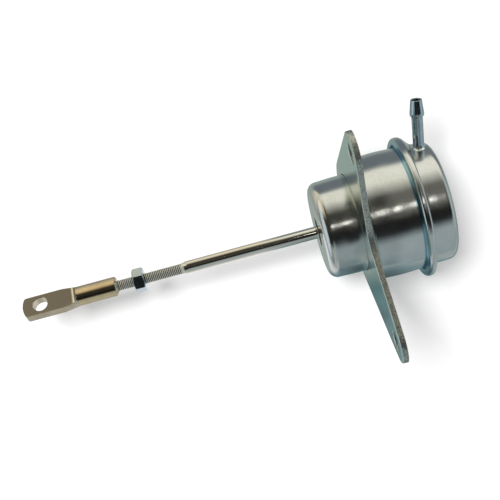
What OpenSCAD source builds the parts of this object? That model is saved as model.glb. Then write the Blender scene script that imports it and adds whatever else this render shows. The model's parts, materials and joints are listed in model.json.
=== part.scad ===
// Boost actuator for a turbocharger's wastegate, with a welded bracket and an adjustable rod.
// The canister's axis lies along X, and the rod comes out of it towards -X.
// The origin is midway between the two bolt holes, on the bracket's front face.

/* [Canister body] */
// Thickness of the pressed sheet
sheet = 0.8; // [0.7:0.1:1]
// Height of the step from the nose up to the canister's wall
step_h = 5.5; // [4.5:0.1:8]
// How much narrower the nose is behind its front corner
nose_draft = 0.6; // [0:0.1:1]
// Length of the nose in front of the bracket
nose_l = 16.4; // [14:0.1:22]
// Outside radius of the nose's front corner
nose_corner_r = 4; // [2:0.1:5]
// Hole in the nose that the rod comes out of
rod_hole_d = 12.7; // [10:0.1:14]
// Canister diameter behind the bracket
body_d = 54.4; // [52:0.1:58]
// Outside radius of the step behind the bracket
step_corner_r = 1.6; // [1:0.1:2]
// Length from the bracket to the crimped ring
body_l = 21.8; // [20:0.1:26]
// Outside radius where the wall turns up into the flange
flange_fillet_r = 1.2; // [0.8:0.1:2]

/* [Rear cover] */
// Height of the crimped ring above the canister's wall
ring_h = 4.1; // [3.8:0.1:5]
// Outside radius of the ring's two rounded corners
ring_bend_r = 1.3; // [1:0.1:1.5]
// Height of the lip's free edge above the canister's wall
lip_edge_h = 1.2; // [1:0.1:1.6]
// Height of the crimped ring above the cover's wall
cover_step_h = 4.7; // [3.8:0.1:5.5]
// How much narrower the cover is at its rear corner
cover_draft = 0.4; // [0:0.1:1.2]
// Length of the cover behind the ring
cover_l = 11.5; // [10:0.1:16]
// Outside radius of the cover's rear corner
cover_corner_r = 3; // [2:0.1:4]
// Outside radius where the ring runs into the cover's wall
cover_fillet_r = 1; // [0.6:0.1:2]

/* [Bracket] */
// Thickness of the bracket plate
plate_t = 2.5; // [2:0.1:4]
// Distance between the two bolt holes
bolt_spacing = 78; // [74:0.5:84]
// Distance from the bolt line's middle to the canister's axis, along the line
bolt_offset = 5; // [0:0.5:7]
// Distance from the bolt line to the canister's axis
bolt_drop = 41; // [38:0.5:46]
// Diameter of the bolt holes
bolt_hole_d = 8.5; // [6:0.1:9]
// Radius of the short arm's end
short_ear_r = 8.9; // [8:0.1:12]
// Radius of the long arm's end
long_ear_r = 9.5; // [8:0.1:12]
// How far the plate's round edge stands out from the canister
hub_margin = 1.2; // [0.5:0.1:3]
// Distance of the dip's centre from the canister's axis, along the bolt line
dip_y = -4; // [-10:0.5:8]
// Height of the dip's lowest point above the plate's round edge
dip_rise = 3.1; // [1:0.1:5]
// Radius of the dip between the arms
dip_r = 12; // [8:0.5:16]
// Number of weld nuggets that hold the bracket
nugget_count = 4; // [3:1:6]
// How far a weld nugget stays inside the edges of the canister's flat step
nugget_margin = 0.45; // [0.2:0.05:0.8]
// Height of the weld gap between the bracket and the canister's step
weld_gap = 0.3; // [0.2:0.1:0.5]

/* [Hose nipple] */
// Distance of the nipple from the cover's rear face
nipple_inset = 5.5; // [5:0.1:7]
// Direction of the nipple around the axis, from +Y towards +Z
nipple_angle = 16.6; // [-30:0.1:60]
// Lean of the nipple towards the rear
nipple_lean = 5.5; // [0:0.5:8]
// Length of the nipple outside the cover
nipple_l = 21.3; // [16:0.1:30]
// Diameter of the nipple's stem
stem_d = 4.8; // [4.2:0.1:5.4]
// Largest diameter of the barb
barb_d = 6.1; // [5.6:0.1:7]
// Length of the barb's front taper
barb_l = 5.7; // [4:0.1:9]
// Length of the straight band at the barb's largest diameter
barb_band = 1; // [0.6:0.1:2]
// Length of the barb's short back taper
barb_back = 1; // [0.6:0.1:2]
// Diameter at the nipple's tip
tip_d = 4.8; // [4.2:0.1:5.5]
// Bore of the nipple
nipple_bore_d = 3.2; // [2.5:0.1:3.6]
// How far the nipple reaches inside the cover
nipple_inside_l = 0.8; // [0.5:0.1:2]
// Size of the brazed fillet at the nipple's foot
braze_w = 1.5; // [0.8:0.1:2]

/* [Rod] */
// Diameter of the plain rod
rod_d = 5.55; // [5:0.05:6]
// Outside diameter of the thread
thread_d = 4.83; // [4.5:0.01:4.9]
// Pitch of the thread
thread_pitch = 0.794; // [0.7:0.001:1]
// Depth of the thread's grooves
thread_depth = 0.45; // [0.3:0.01:0.5]
// Distance from the bracket to the inner end of the thread
thread_reach = 77.6; // [70:0.1:82]
// Length of the cone between the rod and the thread
rod_cone_l = 1.7; // [1:0.1:3]
// Diameter of the riveted end inside the canister
tail_d = 4.2; // [3.6:0.1:4.8]
// Diameter of the rivet head
rivet_d = 7.4; // [6:0.1:8]
// Height of the rivet head
rivet_h = 1.5; // [1:0.1:2]

/* [Rod end] */
// Distance from the bracket to the centre of the eye
eye_reach = 142.3; // [138:0.1:150]
// Diameter of the eye
eye_d = 6.6; // [5:0.1:7]
// Length of the rod end beyond the eye
eye_tip_l = 7.9; // [6:0.1:9]
// Width of the flattened tongue
tongue_w = 9.7; // [9.2:0.1:12]
// Thickness of the flattened tongue
tongue_t = 4.4; // [3:0.1:6]
// Length of the tongue behind the eye
tongue_back_l = 14.3; // [11:0.1:16]
// Radius of the run-out from the flat to the shank
runout_r = 2.3; // [2.2:0.1:6]
// Radius of the tongue's rounded tip
tip_r = 11; // [7:0.5:16]
// Corner radius of the tongue's tip
tip_corner_r = 1.2; // [0.5:0.1:2.5]
// Length over which the tongue narrows into the shank
neck_l = 7; // [4:0.1:9]
// Diameter of the round shank
shank_d = 8.84; // [8:0.01:9]
// Length of the round shank behind the run-out
shank_l = 18.2; // [16:0.1:24]
// Chamfer at the shank's open end
shank_chamfer = 0.8; // [0.2:0.1:1.2]
// Length of solid shank in front of the threaded hole
shank_floor_l = 2.2; // [1:0.1:4]
// Room between the rod's end and the bottom of the threaded hole
thread_room = 1.9; // [0.5:0.1:4]
// Rotation of the eye about the rod, from +Y towards +Z
eye_turn = 46; // [0:1:180]
// Radial clearance of the nut and the rod end on the thread
thread_clearance = 0.05; // [0.02:0.01:0.1]

/* [Jam nut] */
// Width across the nut's flats
nut_flats = 9.5; // [8:0.1:11]
// Height of the nut
nut_h = 5; // [3:0.1:6]
// Gap between the rod end and the nut
nut_gap = 7.3; // [0.3:0.1:12]
// Slope of the chamfer on the nut's corners
nut_chamfer_angle = 30; // [20:1:40]

/* [Inner parts] */
// Travel of the rod
stroke = 12; // [6:0.5:12]
// Thickness of the rubber diaphragm
rubber_t = 0.6; // [0.5:0.1:1]
// Distance from the cover's rear face to the piston's rear face at rest
piston_inset = 6.4; // [6:0.1:8]
// Gap between the canister's wall and the piston, where the diaphragm rolls
roll_gap = 4.6; // [4:0.1:5]
// Gap between the piston and the canister's step at full travel
stop_gap = 0.7; // [0.5:0.1:2]
// Thickness of the piston's sheet
piston_sheet = 0.9; // [0.7:0.1:1.2]
// Outside radius of the piston's edge
piston_corner_r = 1.6; // [1.2:0.1:3]
// How far the edge of the plate that holds the diaphragm is inside the piston's side
retainer_margin = 3.6; // [2:0.1:5]
// Thickness of the plate that holds the diaphragm
retainer_t = 1; // [0.8:0.1:1.2]
// Outside diameter of the washer under the rivet head
rivet_washer_d = 12; // [10:0.5:14]
// Thickness of the washer under the rivet head
rivet_washer_t = 0.8; // [0.5:0.1:1]
// Middle diameter of the rubber ring that meets the cover
bumper_d = 27; // [20:0.5:30]
// Width of the rubber ring that meets the cover
bumper_w = 3.6; // [2:0.1:5]
// Outside diameter of the collar on the rod
collar_d = 13; // [10:0.5:16]
// Thickness of the collar on the rod
collar_t = 2; // [1.5:0.1:3]
// Gap between the rubber ring and the cover at rest
rest_gap = 0.3; // [0.2:0.1:0.5]
// Play of the parts that slip over the rod's tail
tail_play = 0.05; // [0.03:0.01:0.1]

/* [Spring and guide] */
// How far the return spring stays inside the seat's edge
spring_margin = 0.8; // [0.5:0.1:2]
// Wire of the return spring
wire_d = 2.8; // [2:0.1:3]
// Number of turns of the return spring
spring_turns = 8; // [6:0.5:9]
// Width of the spring pad
pad_w = 5.5; // [5:0.1:7]
// Thickness of the spring pad
pad_t = 0.8; // [0.5:0.1:1.5]
// How far the spring seat stays inside the nose's corner
seat_margin = 0.2; // [0.1:0.1:2]
// Thickness of the spring seat's sheet
seat_sheet = 1; // [0.8:0.1:1.2]
// Outside diameter of the seat's raised hub
seat_hub_d = 18.4; // [17:0.1:20]
// Height of the seat's raised hub
seat_hub_l = 10; // [9:0.1:12]
// Radial clearance of the rod in its guide bush
guide_clearance = 0.05; // [0.03:0.01:0.1]
// Radial clearance of the rod in the dust seal and its washer
seal_clearance = 0.3; // [0.2:0.1:0.5]
// Thickness of the dust seal
seal_t = 1.8; // [1:0.1:2]
// Thickness of the seal washer
seal_washer_t = 0.6; // [0.5:0.1:0.8]

/* [Hidden] */
round_fn = 96;
arc_steps = 8;
plate_arc_steps = 20;
// Clearance between the nose and the bracket, and between the rubber and the canister's wall
fit_gap = 0.1;
// Clearance of the pieces that are pressed or brazed in place
weld_fit = 0.05;
// Clearance between the rubber and the piston
rubber_gap = 0.05;
// Gap between the flange's edge and the inside of the ring
flange_gap = 0.7;
// How far the rubber's edge stays inside the flange's edge
rubber_edge_gap = 0.2;
// Clearance at the spring's ends
spring_gap = 0.05;
// How far the diaphragm's loop hangs in front of the middle of its free length
loop_rest_l = 9;
// How far a cutting shape reaches past the part that it cuts
cut_over = 1;

// Radii
body_r = body_d / 2;
nose_back_r = body_r - step_h;
nose_front_r = nose_back_r - nose_draft / 2;
wall_r = body_r - sheet;
ring_r = body_r + ring_h;
lip_edge_r = body_r + lip_edge_h;
flange_r = ring_r - sheet - flange_gap;
cover_r = ring_r - cover_step_h;
cover_back_r = cover_r - cover_draft / 2;
piston_r = wall_r - roll_gap;
retainer_r = piston_r - retainer_margin;
seat_r = nose_front_r - nose_corner_r - seat_margin;
spring_r = seat_r - spring_margin - wire_d / 2;
rod_r = rod_d / 2;
tail_r = tail_d / 2;
thread_r = thread_d / 2;
shank_r = shank_d / 2;
seat_hub_r = seat_hub_d / 2;
tongue_corner_r = norm([tongue_w, tongue_t]) / 2;
nut_corner_r = nut_flats / 2 / cos(30);
nut_face_r = 0.97 * nut_flats / 2;
nut_bevel = (nut_corner_r - nut_face_r) * tan(nut_chamfer_angle);

// Stations along the axis, measured from the bracket's front face
nose_x = -nose_l;
step_x = plate_t + weld_gap;
// The ring holds the lip, the flange, the rubber and the cover's sheet, one behind the other
ring_x = plate_t + body_l;
flange_x = ring_x + sheet + weld_fit;
rubber_x = flange_x + sheet + fit_gap;
ring_back_x = rubber_x + rubber_t + fit_gap + sheet;
cover_x = ring_back_x + cover_l;
nipple_x = cover_x - nipple_inset;
piston_x = cover_x - piston_inset;
piston_front_x = step_x + sheet + stroke + stop_gap;
retainer_x = piston_x + rubber_gap + rubber_t;
rivet_washer_x = retainer_x + retainer_t;
rivet_x = rivet_washer_x + rivet_washer_t;
bumper_x = cover_x - sheet - rest_gap;
collar_x = piston_x - piston_sheet - collar_t;
pad_x = piston_x - piston_sheet - pad_t;
seat_x = nose_x + sheet;
seat_hub_x = seat_x + seat_hub_l;
seal_washer_x = seat_x + seal_t;
bushing_x = seal_washer_x + seal_washer_t;
rod_end_x = -eye_reach - eye_tip_l;
flat_end_x = -eye_reach + tongue_back_l;
shank_x = flat_end_x + runout_r + shank_l;
tapped_l = shank_l - shank_floor_l;
thread_end_x = shank_x - tapped_l + thread_room;
nut_x = shank_x + nut_gap;
spring_x = seat_x + seat_sheet + spring_gap;

// Bracket arms, welds and nipple
short_ear_y = bolt_spacing / 2 - bolt_offset;
long_ear_y = -bolt_spacing / 2 - bolt_offset;
hub_r = body_r + hub_margin;
nugget_y = (nose_back_r + body_r - step_corner_r) / 2;
nugget_r = (body_r - step_corner_r - nose_back_r) / 2 - nugget_margin;
nipple_foot_l = sheet + nipple_inside_l;
barb_foot_z = nipple_l - barb_l - barb_band - barb_back;

// Diaphragm: its clamped edge, the wall that it lines, and the loop between this wall and the piston
rubber_edge_r = flange_r - rubber_edge_gap;
web_r = wall_r - fit_gap;
loop_outer_r = (web_r - piston_r - rubber_gap) / 2;
loop_middle_r = piston_r + rubber_gap + loop_outer_r;
loop_x = (rubber_x + piston_x - piston_corner_r) / 2 - loop_rest_l;

// Thread: turns, crest width and the bevel at its tip
thread_bevel = 0.5;
thread_turns = floor((-thread_reach - thread_end_x - thread_bevel) / thread_pitch);
crest_w = thread_pitch / 4;

// Tip of the rod end: its corner circles touch the round tip from inside
tip_angle = asin((tongue_w / 2 - tip_corner_r) / (tip_r - tip_corner_r));
tip_x = rod_end_x + tip_r - (tip_r - tip_corner_r) * cos(tip_angle);

// Spring: how its wire is divided, and the pitch that fills the room between seat and pad
wire_sides = 8;
spring_steps = spring_turns * 24;
closed_pitch = wire_d * 1.03;
spring_pitch = (pad_x - spring_gap - spring_x - wire_d - 2 * closed_pitch) / (spring_turns - 2);

// The canister's axis stands beside the bolt line
module on_axis() translate([0, bolt_offset, -bolt_drop]) children();

// An arc of points about [x, y], from angle a to angle b
function arc(x, y, r, a, b) = [
    for (i = [0 : arc_steps]) let (t = a + (b - a) * i / arc_steps) [x + r * cos(t), y + r * sin(t)]
];

// A solid turned about X from a closed outline of [station, radius] points
module turned(outline, sides = round_fn) rotate([0, 90, 0]) rotate_extrude($fn = sides)
    polygon([for (p = outline) [p[1], p[0]]]);

// A flat ring between two stations
module ring(x, length, outer_r, inner_r) turned([
    [x, inner_r], [x, outer_r], [x + length, outer_r], [x + length, inner_r]
]);

// A round bar along X
module bar(x, length, r) translate([x, 0, 0]) rotate([0, 90, 0])
    cylinder(r = r, h = length, $fn = round_fn);

module canister_body() color("#b9c2c4") on_axis() turned(concat(
    [[nose_x, rod_hole_d / 2]],
    arc(nose_x + nose_corner_r, nose_front_r - nose_corner_r, nose_corner_r, 180, 90),
    [[plate_t, nose_back_r], [step_x, nose_back_r]],
    arc(step_x + step_corner_r, body_r - step_corner_r, step_corner_r, 180, 90),
    arc(flange_x - flange_fillet_r, body_r + flange_fillet_r, flange_fillet_r, 270, 360),
    [
        [flange_x, flange_r],
        [flange_x + sheet, flange_r],
        [flange_x + sheet, wall_r],
        [step_x + sheet, wall_r],
        [step_x + sheet, nose_back_r - sheet]
    ],
    arc(nose_x + nose_corner_r, nose_front_r - nose_corner_r, nose_corner_r - sheet, 90, 180),
    [[nose_x + sheet, rod_hole_d / 2]]
));

// The cover's surface from the lip's free edge to the axis, moved inwards by inset
function cover_surface(inset) = concat(
    [[ring_x + inset, lip_edge_r]],
    arc(ring_x + ring_bend_r, ring_r - ring_bend_r, ring_bend_r - inset, 180, 90),
    arc(ring_back_x - ring_bend_r, ring_r - ring_bend_r, ring_bend_r - inset, 90, 0),
    arc(ring_back_x + cover_fillet_r, cover_r + cover_fillet_r, cover_fillet_r + inset, 180, 270),
    arc(cover_x - cover_corner_r, cover_back_r - cover_corner_r, cover_corner_r - inset, 90, 0),
    [[cover_x - inset, 0]]
);

function reversed(list) = [for (i = [len(list) - 1 : -1 : 0]) list[i]];

module cover_shell() turned(concat(cover_surface(0), reversed(cover_surface(sheet))));

// Everything inside the cover's outer surface, with more sides because it cuts the thin braze
module cover_block() turned(concat(cover_surface(0), [[ring_x, 0]]), 4 * round_fn);

// The nipple's own axis, with its foot on the cover and its tip along +Z
module at_nipple() rotate([nipple_angle, 0, 0]) translate([nipple_x, cover_r, 0])
    rotate([-90, 0, -nipple_lean]) children();

module rear_cover() color("#c3cac8") on_axis() difference() {
    cover_shell();
    at_nipple() translate([0, 0, -nipple_foot_l - cut_over])
        cylinder(r = stem_d / 2 + weld_fit, h = nipple_foot_l + 2 * cut_over, $fn = round_fn);
}

module hose_nipple() color("#8fa9bd") on_axis() at_nipple() rotate_extrude($fn = round_fn) polygon([
    [nipple_bore_d / 2, -nipple_foot_l],
    [stem_d / 2, -nipple_foot_l],
    [stem_d / 2, barb_foot_z],
    [barb_d / 2, barb_foot_z + barb_back],
    [barb_d / 2, nipple_l - barb_l],
    [tip_d / 2, nipple_l],
    [nipple_bore_d / 2, nipple_l]
]);

module nipple_braze() color("#d5dde0") on_axis() difference() {
    at_nipple() rotate_extrude($fn = round_fn) polygon(concat(
        arc(stem_d / 2 + weld_fit + braze_w, braze_w, braze_w, 180, 270),
        [[stem_d / 2 + weld_fit + braze_w, -sheet], [stem_d / 2 + weld_fit, -sheet]]
    ));
    cover_block();
}

// Direction of the line that leaves circle a and meets circle b, both on its left.
// A circle is [y, z, radius], and a negative radius puts it on the line's right.
function belt_angle(a, b) = atan2(b[1] - a[1], b[0] - a[0])
    + asin((a[2] - b[2]) / norm([b[0] - a[0], b[1] - a[1]]));

// How far the outline turns at a circle: to the left if its radius is positive, or else to the right
function belt_turn(circle, a, b) = circle[2] > 0 ? (b - a + 720) % 360 : (b - a - 720) % 360;

// The outline of a belt round circles, worked out as tangents and arcs
function belt(circles) = [
    for (i = [0 : len(circles) - 1]) let (
        c = circles[i],
        a = belt_angle(circles[(i + len(circles) - 1) % len(circles)], c),
        b = belt_angle(c, circles[(i + 1) % len(circles)]),
        turn = belt_turn(c, a, b)
    ) for (k = [0 : plate_arc_steps]) let (t = a + turn * k / plate_arc_steps - 90)
        [c[0] + c[2] * cos(t), c[1] + c[2] * sin(t)]
];

// A flat outline in Y and Z, made into a plate from station x towards +X
module plate(x, thickness) translate([x, 0, 0]) rotate([90, 0, 90]) linear_extrude(thickness) children();

module mounting_bracket() color("#a9b4ad") on_axis() difference() {
    plate(0, plate_t) polygon(belt([
        [short_ear_y, bolt_drop, short_ear_r],
        [dip_y, hub_r + dip_rise + dip_r, -dip_r],
        [long_ear_y, bolt_drop, long_ear_r],
        [0, 0, hub_r]
    ]));
    bar(-cut_over, plate_t + 2 * cut_over, nose_back_r + fit_gap);
    for (y = [short_ear_y, long_ear_y]) translate([0, y, bolt_drop])
        bar(-cut_over, plate_t + 2 * cut_over, bolt_hole_d / 2);
}

module bracket_welds() color("#8f9794") on_axis() for (i = [0 : nugget_count - 1])
    rotate([(i + 0.5) * 360 / nugget_count, 0, 0]) translate([0, nugget_y, 0])
        bar(plate_t, weld_gap, nugget_r);

// Clamped edge, web along the wall, rolled loop, piston side and head of the diaphragm
module diaphragm() color("#2b2b2b") on_axis() turned(concat(
    [
        [rubber_x, rubber_edge_r],
        [rubber_x + rubber_t, rubber_edge_r],
        [rubber_x + rubber_t, web_r - rubber_t]
    ],
    arc(loop_x, loop_middle_r, loop_outer_r - rubber_t, 90, 270),
    arc(piston_x - piston_corner_r, piston_r - piston_corner_r,
        piston_corner_r + rubber_gap + rubber_t, 90, 0),
    [[retainer_x, tail_r + tail_play], [piston_x + rubber_gap, tail_r + tail_play]],
    arc(piston_x - piston_corner_r, piston_r - piston_corner_r, piston_corner_r + rubber_gap, 0, 90),
    arc(loop_x, loop_middle_r, loop_outer_r, 270, 90),
    [[rubber_x, web_r]]
));

module diaphragm_retainer() color("#aeb4b6") on_axis()
    ring(retainer_x, retainer_t, retainer_r, tail_r + tail_play);

module piston_cup() color("#b4babc") on_axis() turned(concat(
    [[piston_front_x, piston_r - piston_sheet], [piston_front_x, piston_r]],
    arc(piston_x - piston_corner_r, piston_r - piston_corner_r, piston_corner_r, 90, 0),
    [[piston_x, tail_r + tail_play], [piston_x - piston_sheet, tail_r + tail_play]],
    arc(piston_x - piston_corner_r, piston_r - piston_corner_r, piston_corner_r - piston_sheet, 0, 90)
));

module rivet_washer() color("#9aa0a3") on_axis()
    ring(rivet_washer_x, rivet_washer_t, rivet_washer_d / 2, tail_r + tail_play);

module rest_bumper() color("#1f1f1f") on_axis() turned(concat(
    [[rivet_washer_x, (bumper_d - bumper_w) / 2], [rivet_washer_x, (bumper_d + bumper_w) / 2]],
    arc(bumper_x - bumper_w / 2, bumper_d / 2, bumper_w / 2, 90, -90)
));

module rod_collar() color("#a3a9ab") on_axis() ring(collar_x, collar_t, collar_d / 2, tail_r + tail_play);

// Crest, flank and root of each turn, worked out along the thread
function thread_profile() = [
    for (i = [0 : thread_turns - 1]) let (x = thread_end_x + thread_bevel + i * thread_pitch)
        each [
            [x, thread_r],
            [x + crest_w, thread_r],
            [x + (thread_pitch + crest_w) / 2, thread_r - thread_depth]
        ]
];

module actuator_rod() color("#ccd0cf") on_axis() turned(concat(
    [[thread_end_x, 0], [thread_end_x, thread_r - thread_bevel]],
    thread_profile(),
    [[-thread_reach, thread_r], [-thread_reach + rod_cone_l, rod_r]],
    [[collar_x, rod_r], [collar_x, tail_r], [rivet_x, tail_r], [rivet_x, rivet_d / 2]],
    arc(rivet_x, rivet_d / 2 - rivet_h, rivet_h, 90, 0),
    [[rivet_x + rivet_h, 0]]
));

// Centre of the spring's wire after a number of turns: closed ends and an even pitch between them
function spring_station(turn) = spring_x + wire_d / 2
    + closed_pitch * (min(turn, 1) + max(turn - spring_turns + 1, 0))
    + spring_pitch * min(max(turn - 1, 0), spring_turns - 2);

function spring_points() = [
    for (i = [0 : spring_steps]) let (
        turn = spring_turns * i / spring_steps,
        x = spring_station(turn)
    ) for (k = [0 : wire_sides - 1]) let (
        side = 360 * k / wire_sides,
        r = spring_r + wire_d / 2 * cos(side)
    ) [x + wire_d / 2 * sin(side), r * cos(360 * turn), r * sin(360 * turn)]
];

// Two triangles for each side of each step, and a flat end at each end of the wire
function spring_faces() = concat(
    [for (i = [0 : spring_steps - 1]) for (k = [0 : wire_sides - 1]) let (
        a = i * wire_sides + k,
        b = i * wire_sides + (k + 1) % wire_sides
    ) each [[a, b, b + wire_sides], [a, b + wire_sides, a + wire_sides]]],
    [[for (k = [wire_sides - 1 : -1 : 0]) k]],
    [[for (k = [0 : wire_sides - 1]) spring_steps * wire_sides + k]]
);

module return_spring() color("#7d8488") on_axis() polyhedron(spring_points(), spring_faces());

module spring_pad() color("#e2dfd2") on_axis()
    ring(pad_x, pad_t, spring_r + pad_w / 2, spring_r - pad_w / 2);

module spring_seat() color("#a6adaf") on_axis() turned([
    [seat_x, seat_hub_r - seat_sheet],
    [seat_x, seat_r],
    [seat_x + seat_sheet, seat_r],
    [seat_x + seat_sheet, seat_hub_r],
    [seat_hub_x, seat_hub_r],
    [seat_hub_x, rod_r + seat_sheet],
    [seat_hub_x - seat_sheet, rod_r + seat_sheet],
    [seat_hub_x - seat_sheet, seat_hub_r - seat_sheet]
]);

module guide_bushing() color("#b58a4a") on_axis()
    ring(bushing_x, seat_hub_x - seat_sheet - bushing_x,
        seat_hub_r - seat_sheet - weld_fit, rod_r + guide_clearance);

module seal_washer() color("#9ba1a4") on_axis()
    ring(seal_washer_x, seal_washer_t, seat_hub_r - seat_sheet - weld_fit, rod_r + seal_clearance);

module dust_seal() color("#262626") on_axis()
    ring(seat_x, seal_t, seat_hub_r - seat_sheet - weld_fit, rod_r + seal_clearance);

module jam_nut() color("#a8b6c2") on_axis() difference() {
    intersection() {
        translate([nut_x, 0, 0]) rotate([90, 0, 90]) cylinder(r = nut_corner_r, h = nut_h, $fn = 6);
        turned([
            [nut_x, 0],
            [nut_x, nut_face_r],
            [nut_x + nut_bevel, nut_corner_r],
            [nut_x + nut_h - nut_bevel, nut_corner_r],
            [nut_x + nut_h, nut_face_r],
            [nut_x + nut_h, 0]
        ]);
    }
    bar(nut_x - cut_over, nut_h + 2 * cut_over, thread_r + thread_clearance);
}

// The tongue's outline seen along the eye, with a rounded tip, drawn as far as the shank's open end
module tongue_plan() polygon(concat(
    arc(tip_x, -tongue_w / 2 + tip_corner_r, tip_corner_r, 270, 180 + tip_angle),
    arc(rod_end_x + tip_r, 0, tip_r, 180 + tip_angle, 180 - tip_angle),
    arc(tip_x, tongue_w / 2 - tip_corner_r, tip_corner_r, 180 - tip_angle, 90),
    [[shank_x + cut_over, tongue_w / 2], [shank_x + cut_over, -tongue_w / 2]]
));

// Half of the outline seen along the tongue's width: the flat, its run-out, and room for the shank
function side_half() = concat(
    [[rod_end_x - cut_over, tongue_t / 2]],
    arc(flat_end_x, tongue_t / 2 + runout_r, runout_r, -90, 0),
    [[flat_end_x + runout_r, tongue_w], [shank_x + cut_over, tongue_w]]
);

module tongue_side() polygon(concat(side_half(), [for (p = reversed(side_half())) [p[0], -p[1]]]));

module rod_end() color("#bdb394") on_axis() rotate([eye_turn, 0, 0]) difference() {
    intersection() {
        rotate([90, 0, 0]) linear_extrude(2 * tongue_w, center = true) tongue_plan();
        linear_extrude(2 * tongue_w, center = true) tongue_side();
        turned([
            [rod_end_x - cut_over, 0],
            [rod_end_x - cut_over, tongue_corner_r],
            [flat_end_x + runout_r - neck_l, tongue_corner_r],
            [flat_end_x + runout_r, shank_r],
            [shank_x - shank_chamfer, shank_r],
            [shank_x, shank_r - shank_chamfer],
            [shank_x, 0]
        ]);
    }
    translate([-eye_reach, 0, 0]) rotate([90, 0, 0])
        cylinder(r = eye_d / 2, h = tongue_t + 2 * cut_over, center = true, $fn = round_fn);
    bar(shank_x - tapped_l, tapped_l + cut_over, thread_r + thread_clearance);
}

canister_body();
rear_cover();
mounting_bracket();
bracket_welds();
hose_nipple();
nipple_braze();
diaphragm();
diaphragm_retainer();
piston_cup();
rivet_washer();
rest_bumper();
rod_collar();
actuator_rod();
return_spring();
spring_pad();
spring_seat();
guide_bushing();
seal_washer();
dust_seal();
jam_nut();
rod_end();
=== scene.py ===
"""A turbocharger's wastegate actuator: zinc-plated canister, bracket, hose nipple and adjustable rod."""
import json

import bpy
import numpy as np
from bpy.props import FloatProperty, FloatVectorProperty, PointerProperty
from mathutils import Matrix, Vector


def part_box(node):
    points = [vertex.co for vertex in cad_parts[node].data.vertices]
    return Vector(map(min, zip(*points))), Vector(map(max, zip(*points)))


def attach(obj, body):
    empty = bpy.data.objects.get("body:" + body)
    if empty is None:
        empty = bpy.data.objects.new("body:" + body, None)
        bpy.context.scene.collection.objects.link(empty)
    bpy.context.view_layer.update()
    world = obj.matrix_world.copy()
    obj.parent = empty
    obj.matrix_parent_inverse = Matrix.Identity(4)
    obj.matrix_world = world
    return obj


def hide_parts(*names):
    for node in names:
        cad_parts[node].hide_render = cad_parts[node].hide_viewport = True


bl_info = {
    "name": "Wastegate Actuator",
    "version": (1, 0, 0),
    "blender": (4, 5, 0),
    "location": "3D View > Sidebar > Actuator",
    "description": "Builds a boost actuator with its bracket, hose nipple and rod end",
    "category": "Add Mesh",
}

MM = 0.001
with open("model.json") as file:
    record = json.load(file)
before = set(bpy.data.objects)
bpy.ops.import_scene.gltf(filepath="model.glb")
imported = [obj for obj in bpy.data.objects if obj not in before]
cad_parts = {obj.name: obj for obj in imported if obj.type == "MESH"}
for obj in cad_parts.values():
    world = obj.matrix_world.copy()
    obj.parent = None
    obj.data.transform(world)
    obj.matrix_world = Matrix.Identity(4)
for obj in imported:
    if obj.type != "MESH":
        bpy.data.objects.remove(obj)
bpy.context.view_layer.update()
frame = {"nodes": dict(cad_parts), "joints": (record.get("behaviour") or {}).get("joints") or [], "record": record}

# Places that the frame gives
JOINTS = {joint["name"]: joint for joint in frame["joints"]}
MOUNTS = {mount["name"]: mount for mount in frame["record"]["mounts"]}
AXIS = np.array([0.0, *JOINTS["nut_turn"]["pos_m"][1:]])
ALONG = np.array([1.0, 0.0, 0.0])
NOSE_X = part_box("canister_body")[0].x
PLATE_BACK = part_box("mounting_bracket")[1].x
COVER_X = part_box("rear_cover")[1].x
RING_R = (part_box("rear_cover")[1].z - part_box("rear_cover")[0].z) / 2
EYE_X = MOUNTS["rod_eye"]["pos_m"][0]
EYE_AXIS = np.array(MOUNTS["rod_eye"]["axis"])
FLOOR_Z = AXIS[2] - RING_R

# Where the crimping tool spread the ring's foot, as an angle round the axis from -Y towards -Z
SPREAD_ANGLE = np.radians(162.6)
SPREAD_WIDTH = np.radians(33)


def length(name, description, value):
    """A length property, in metres, with its default given in millimetres."""
    return FloatProperty(name=name, description=description, default=value * MM, unit="LENGTH", precision=5)


def colour(name, description, value):
    """A colour property."""
    return FloatVectorProperty(
        name=name, description=description, default=value, subtype="COLOR", size=3, min=0.0, max=1.0)


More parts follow.
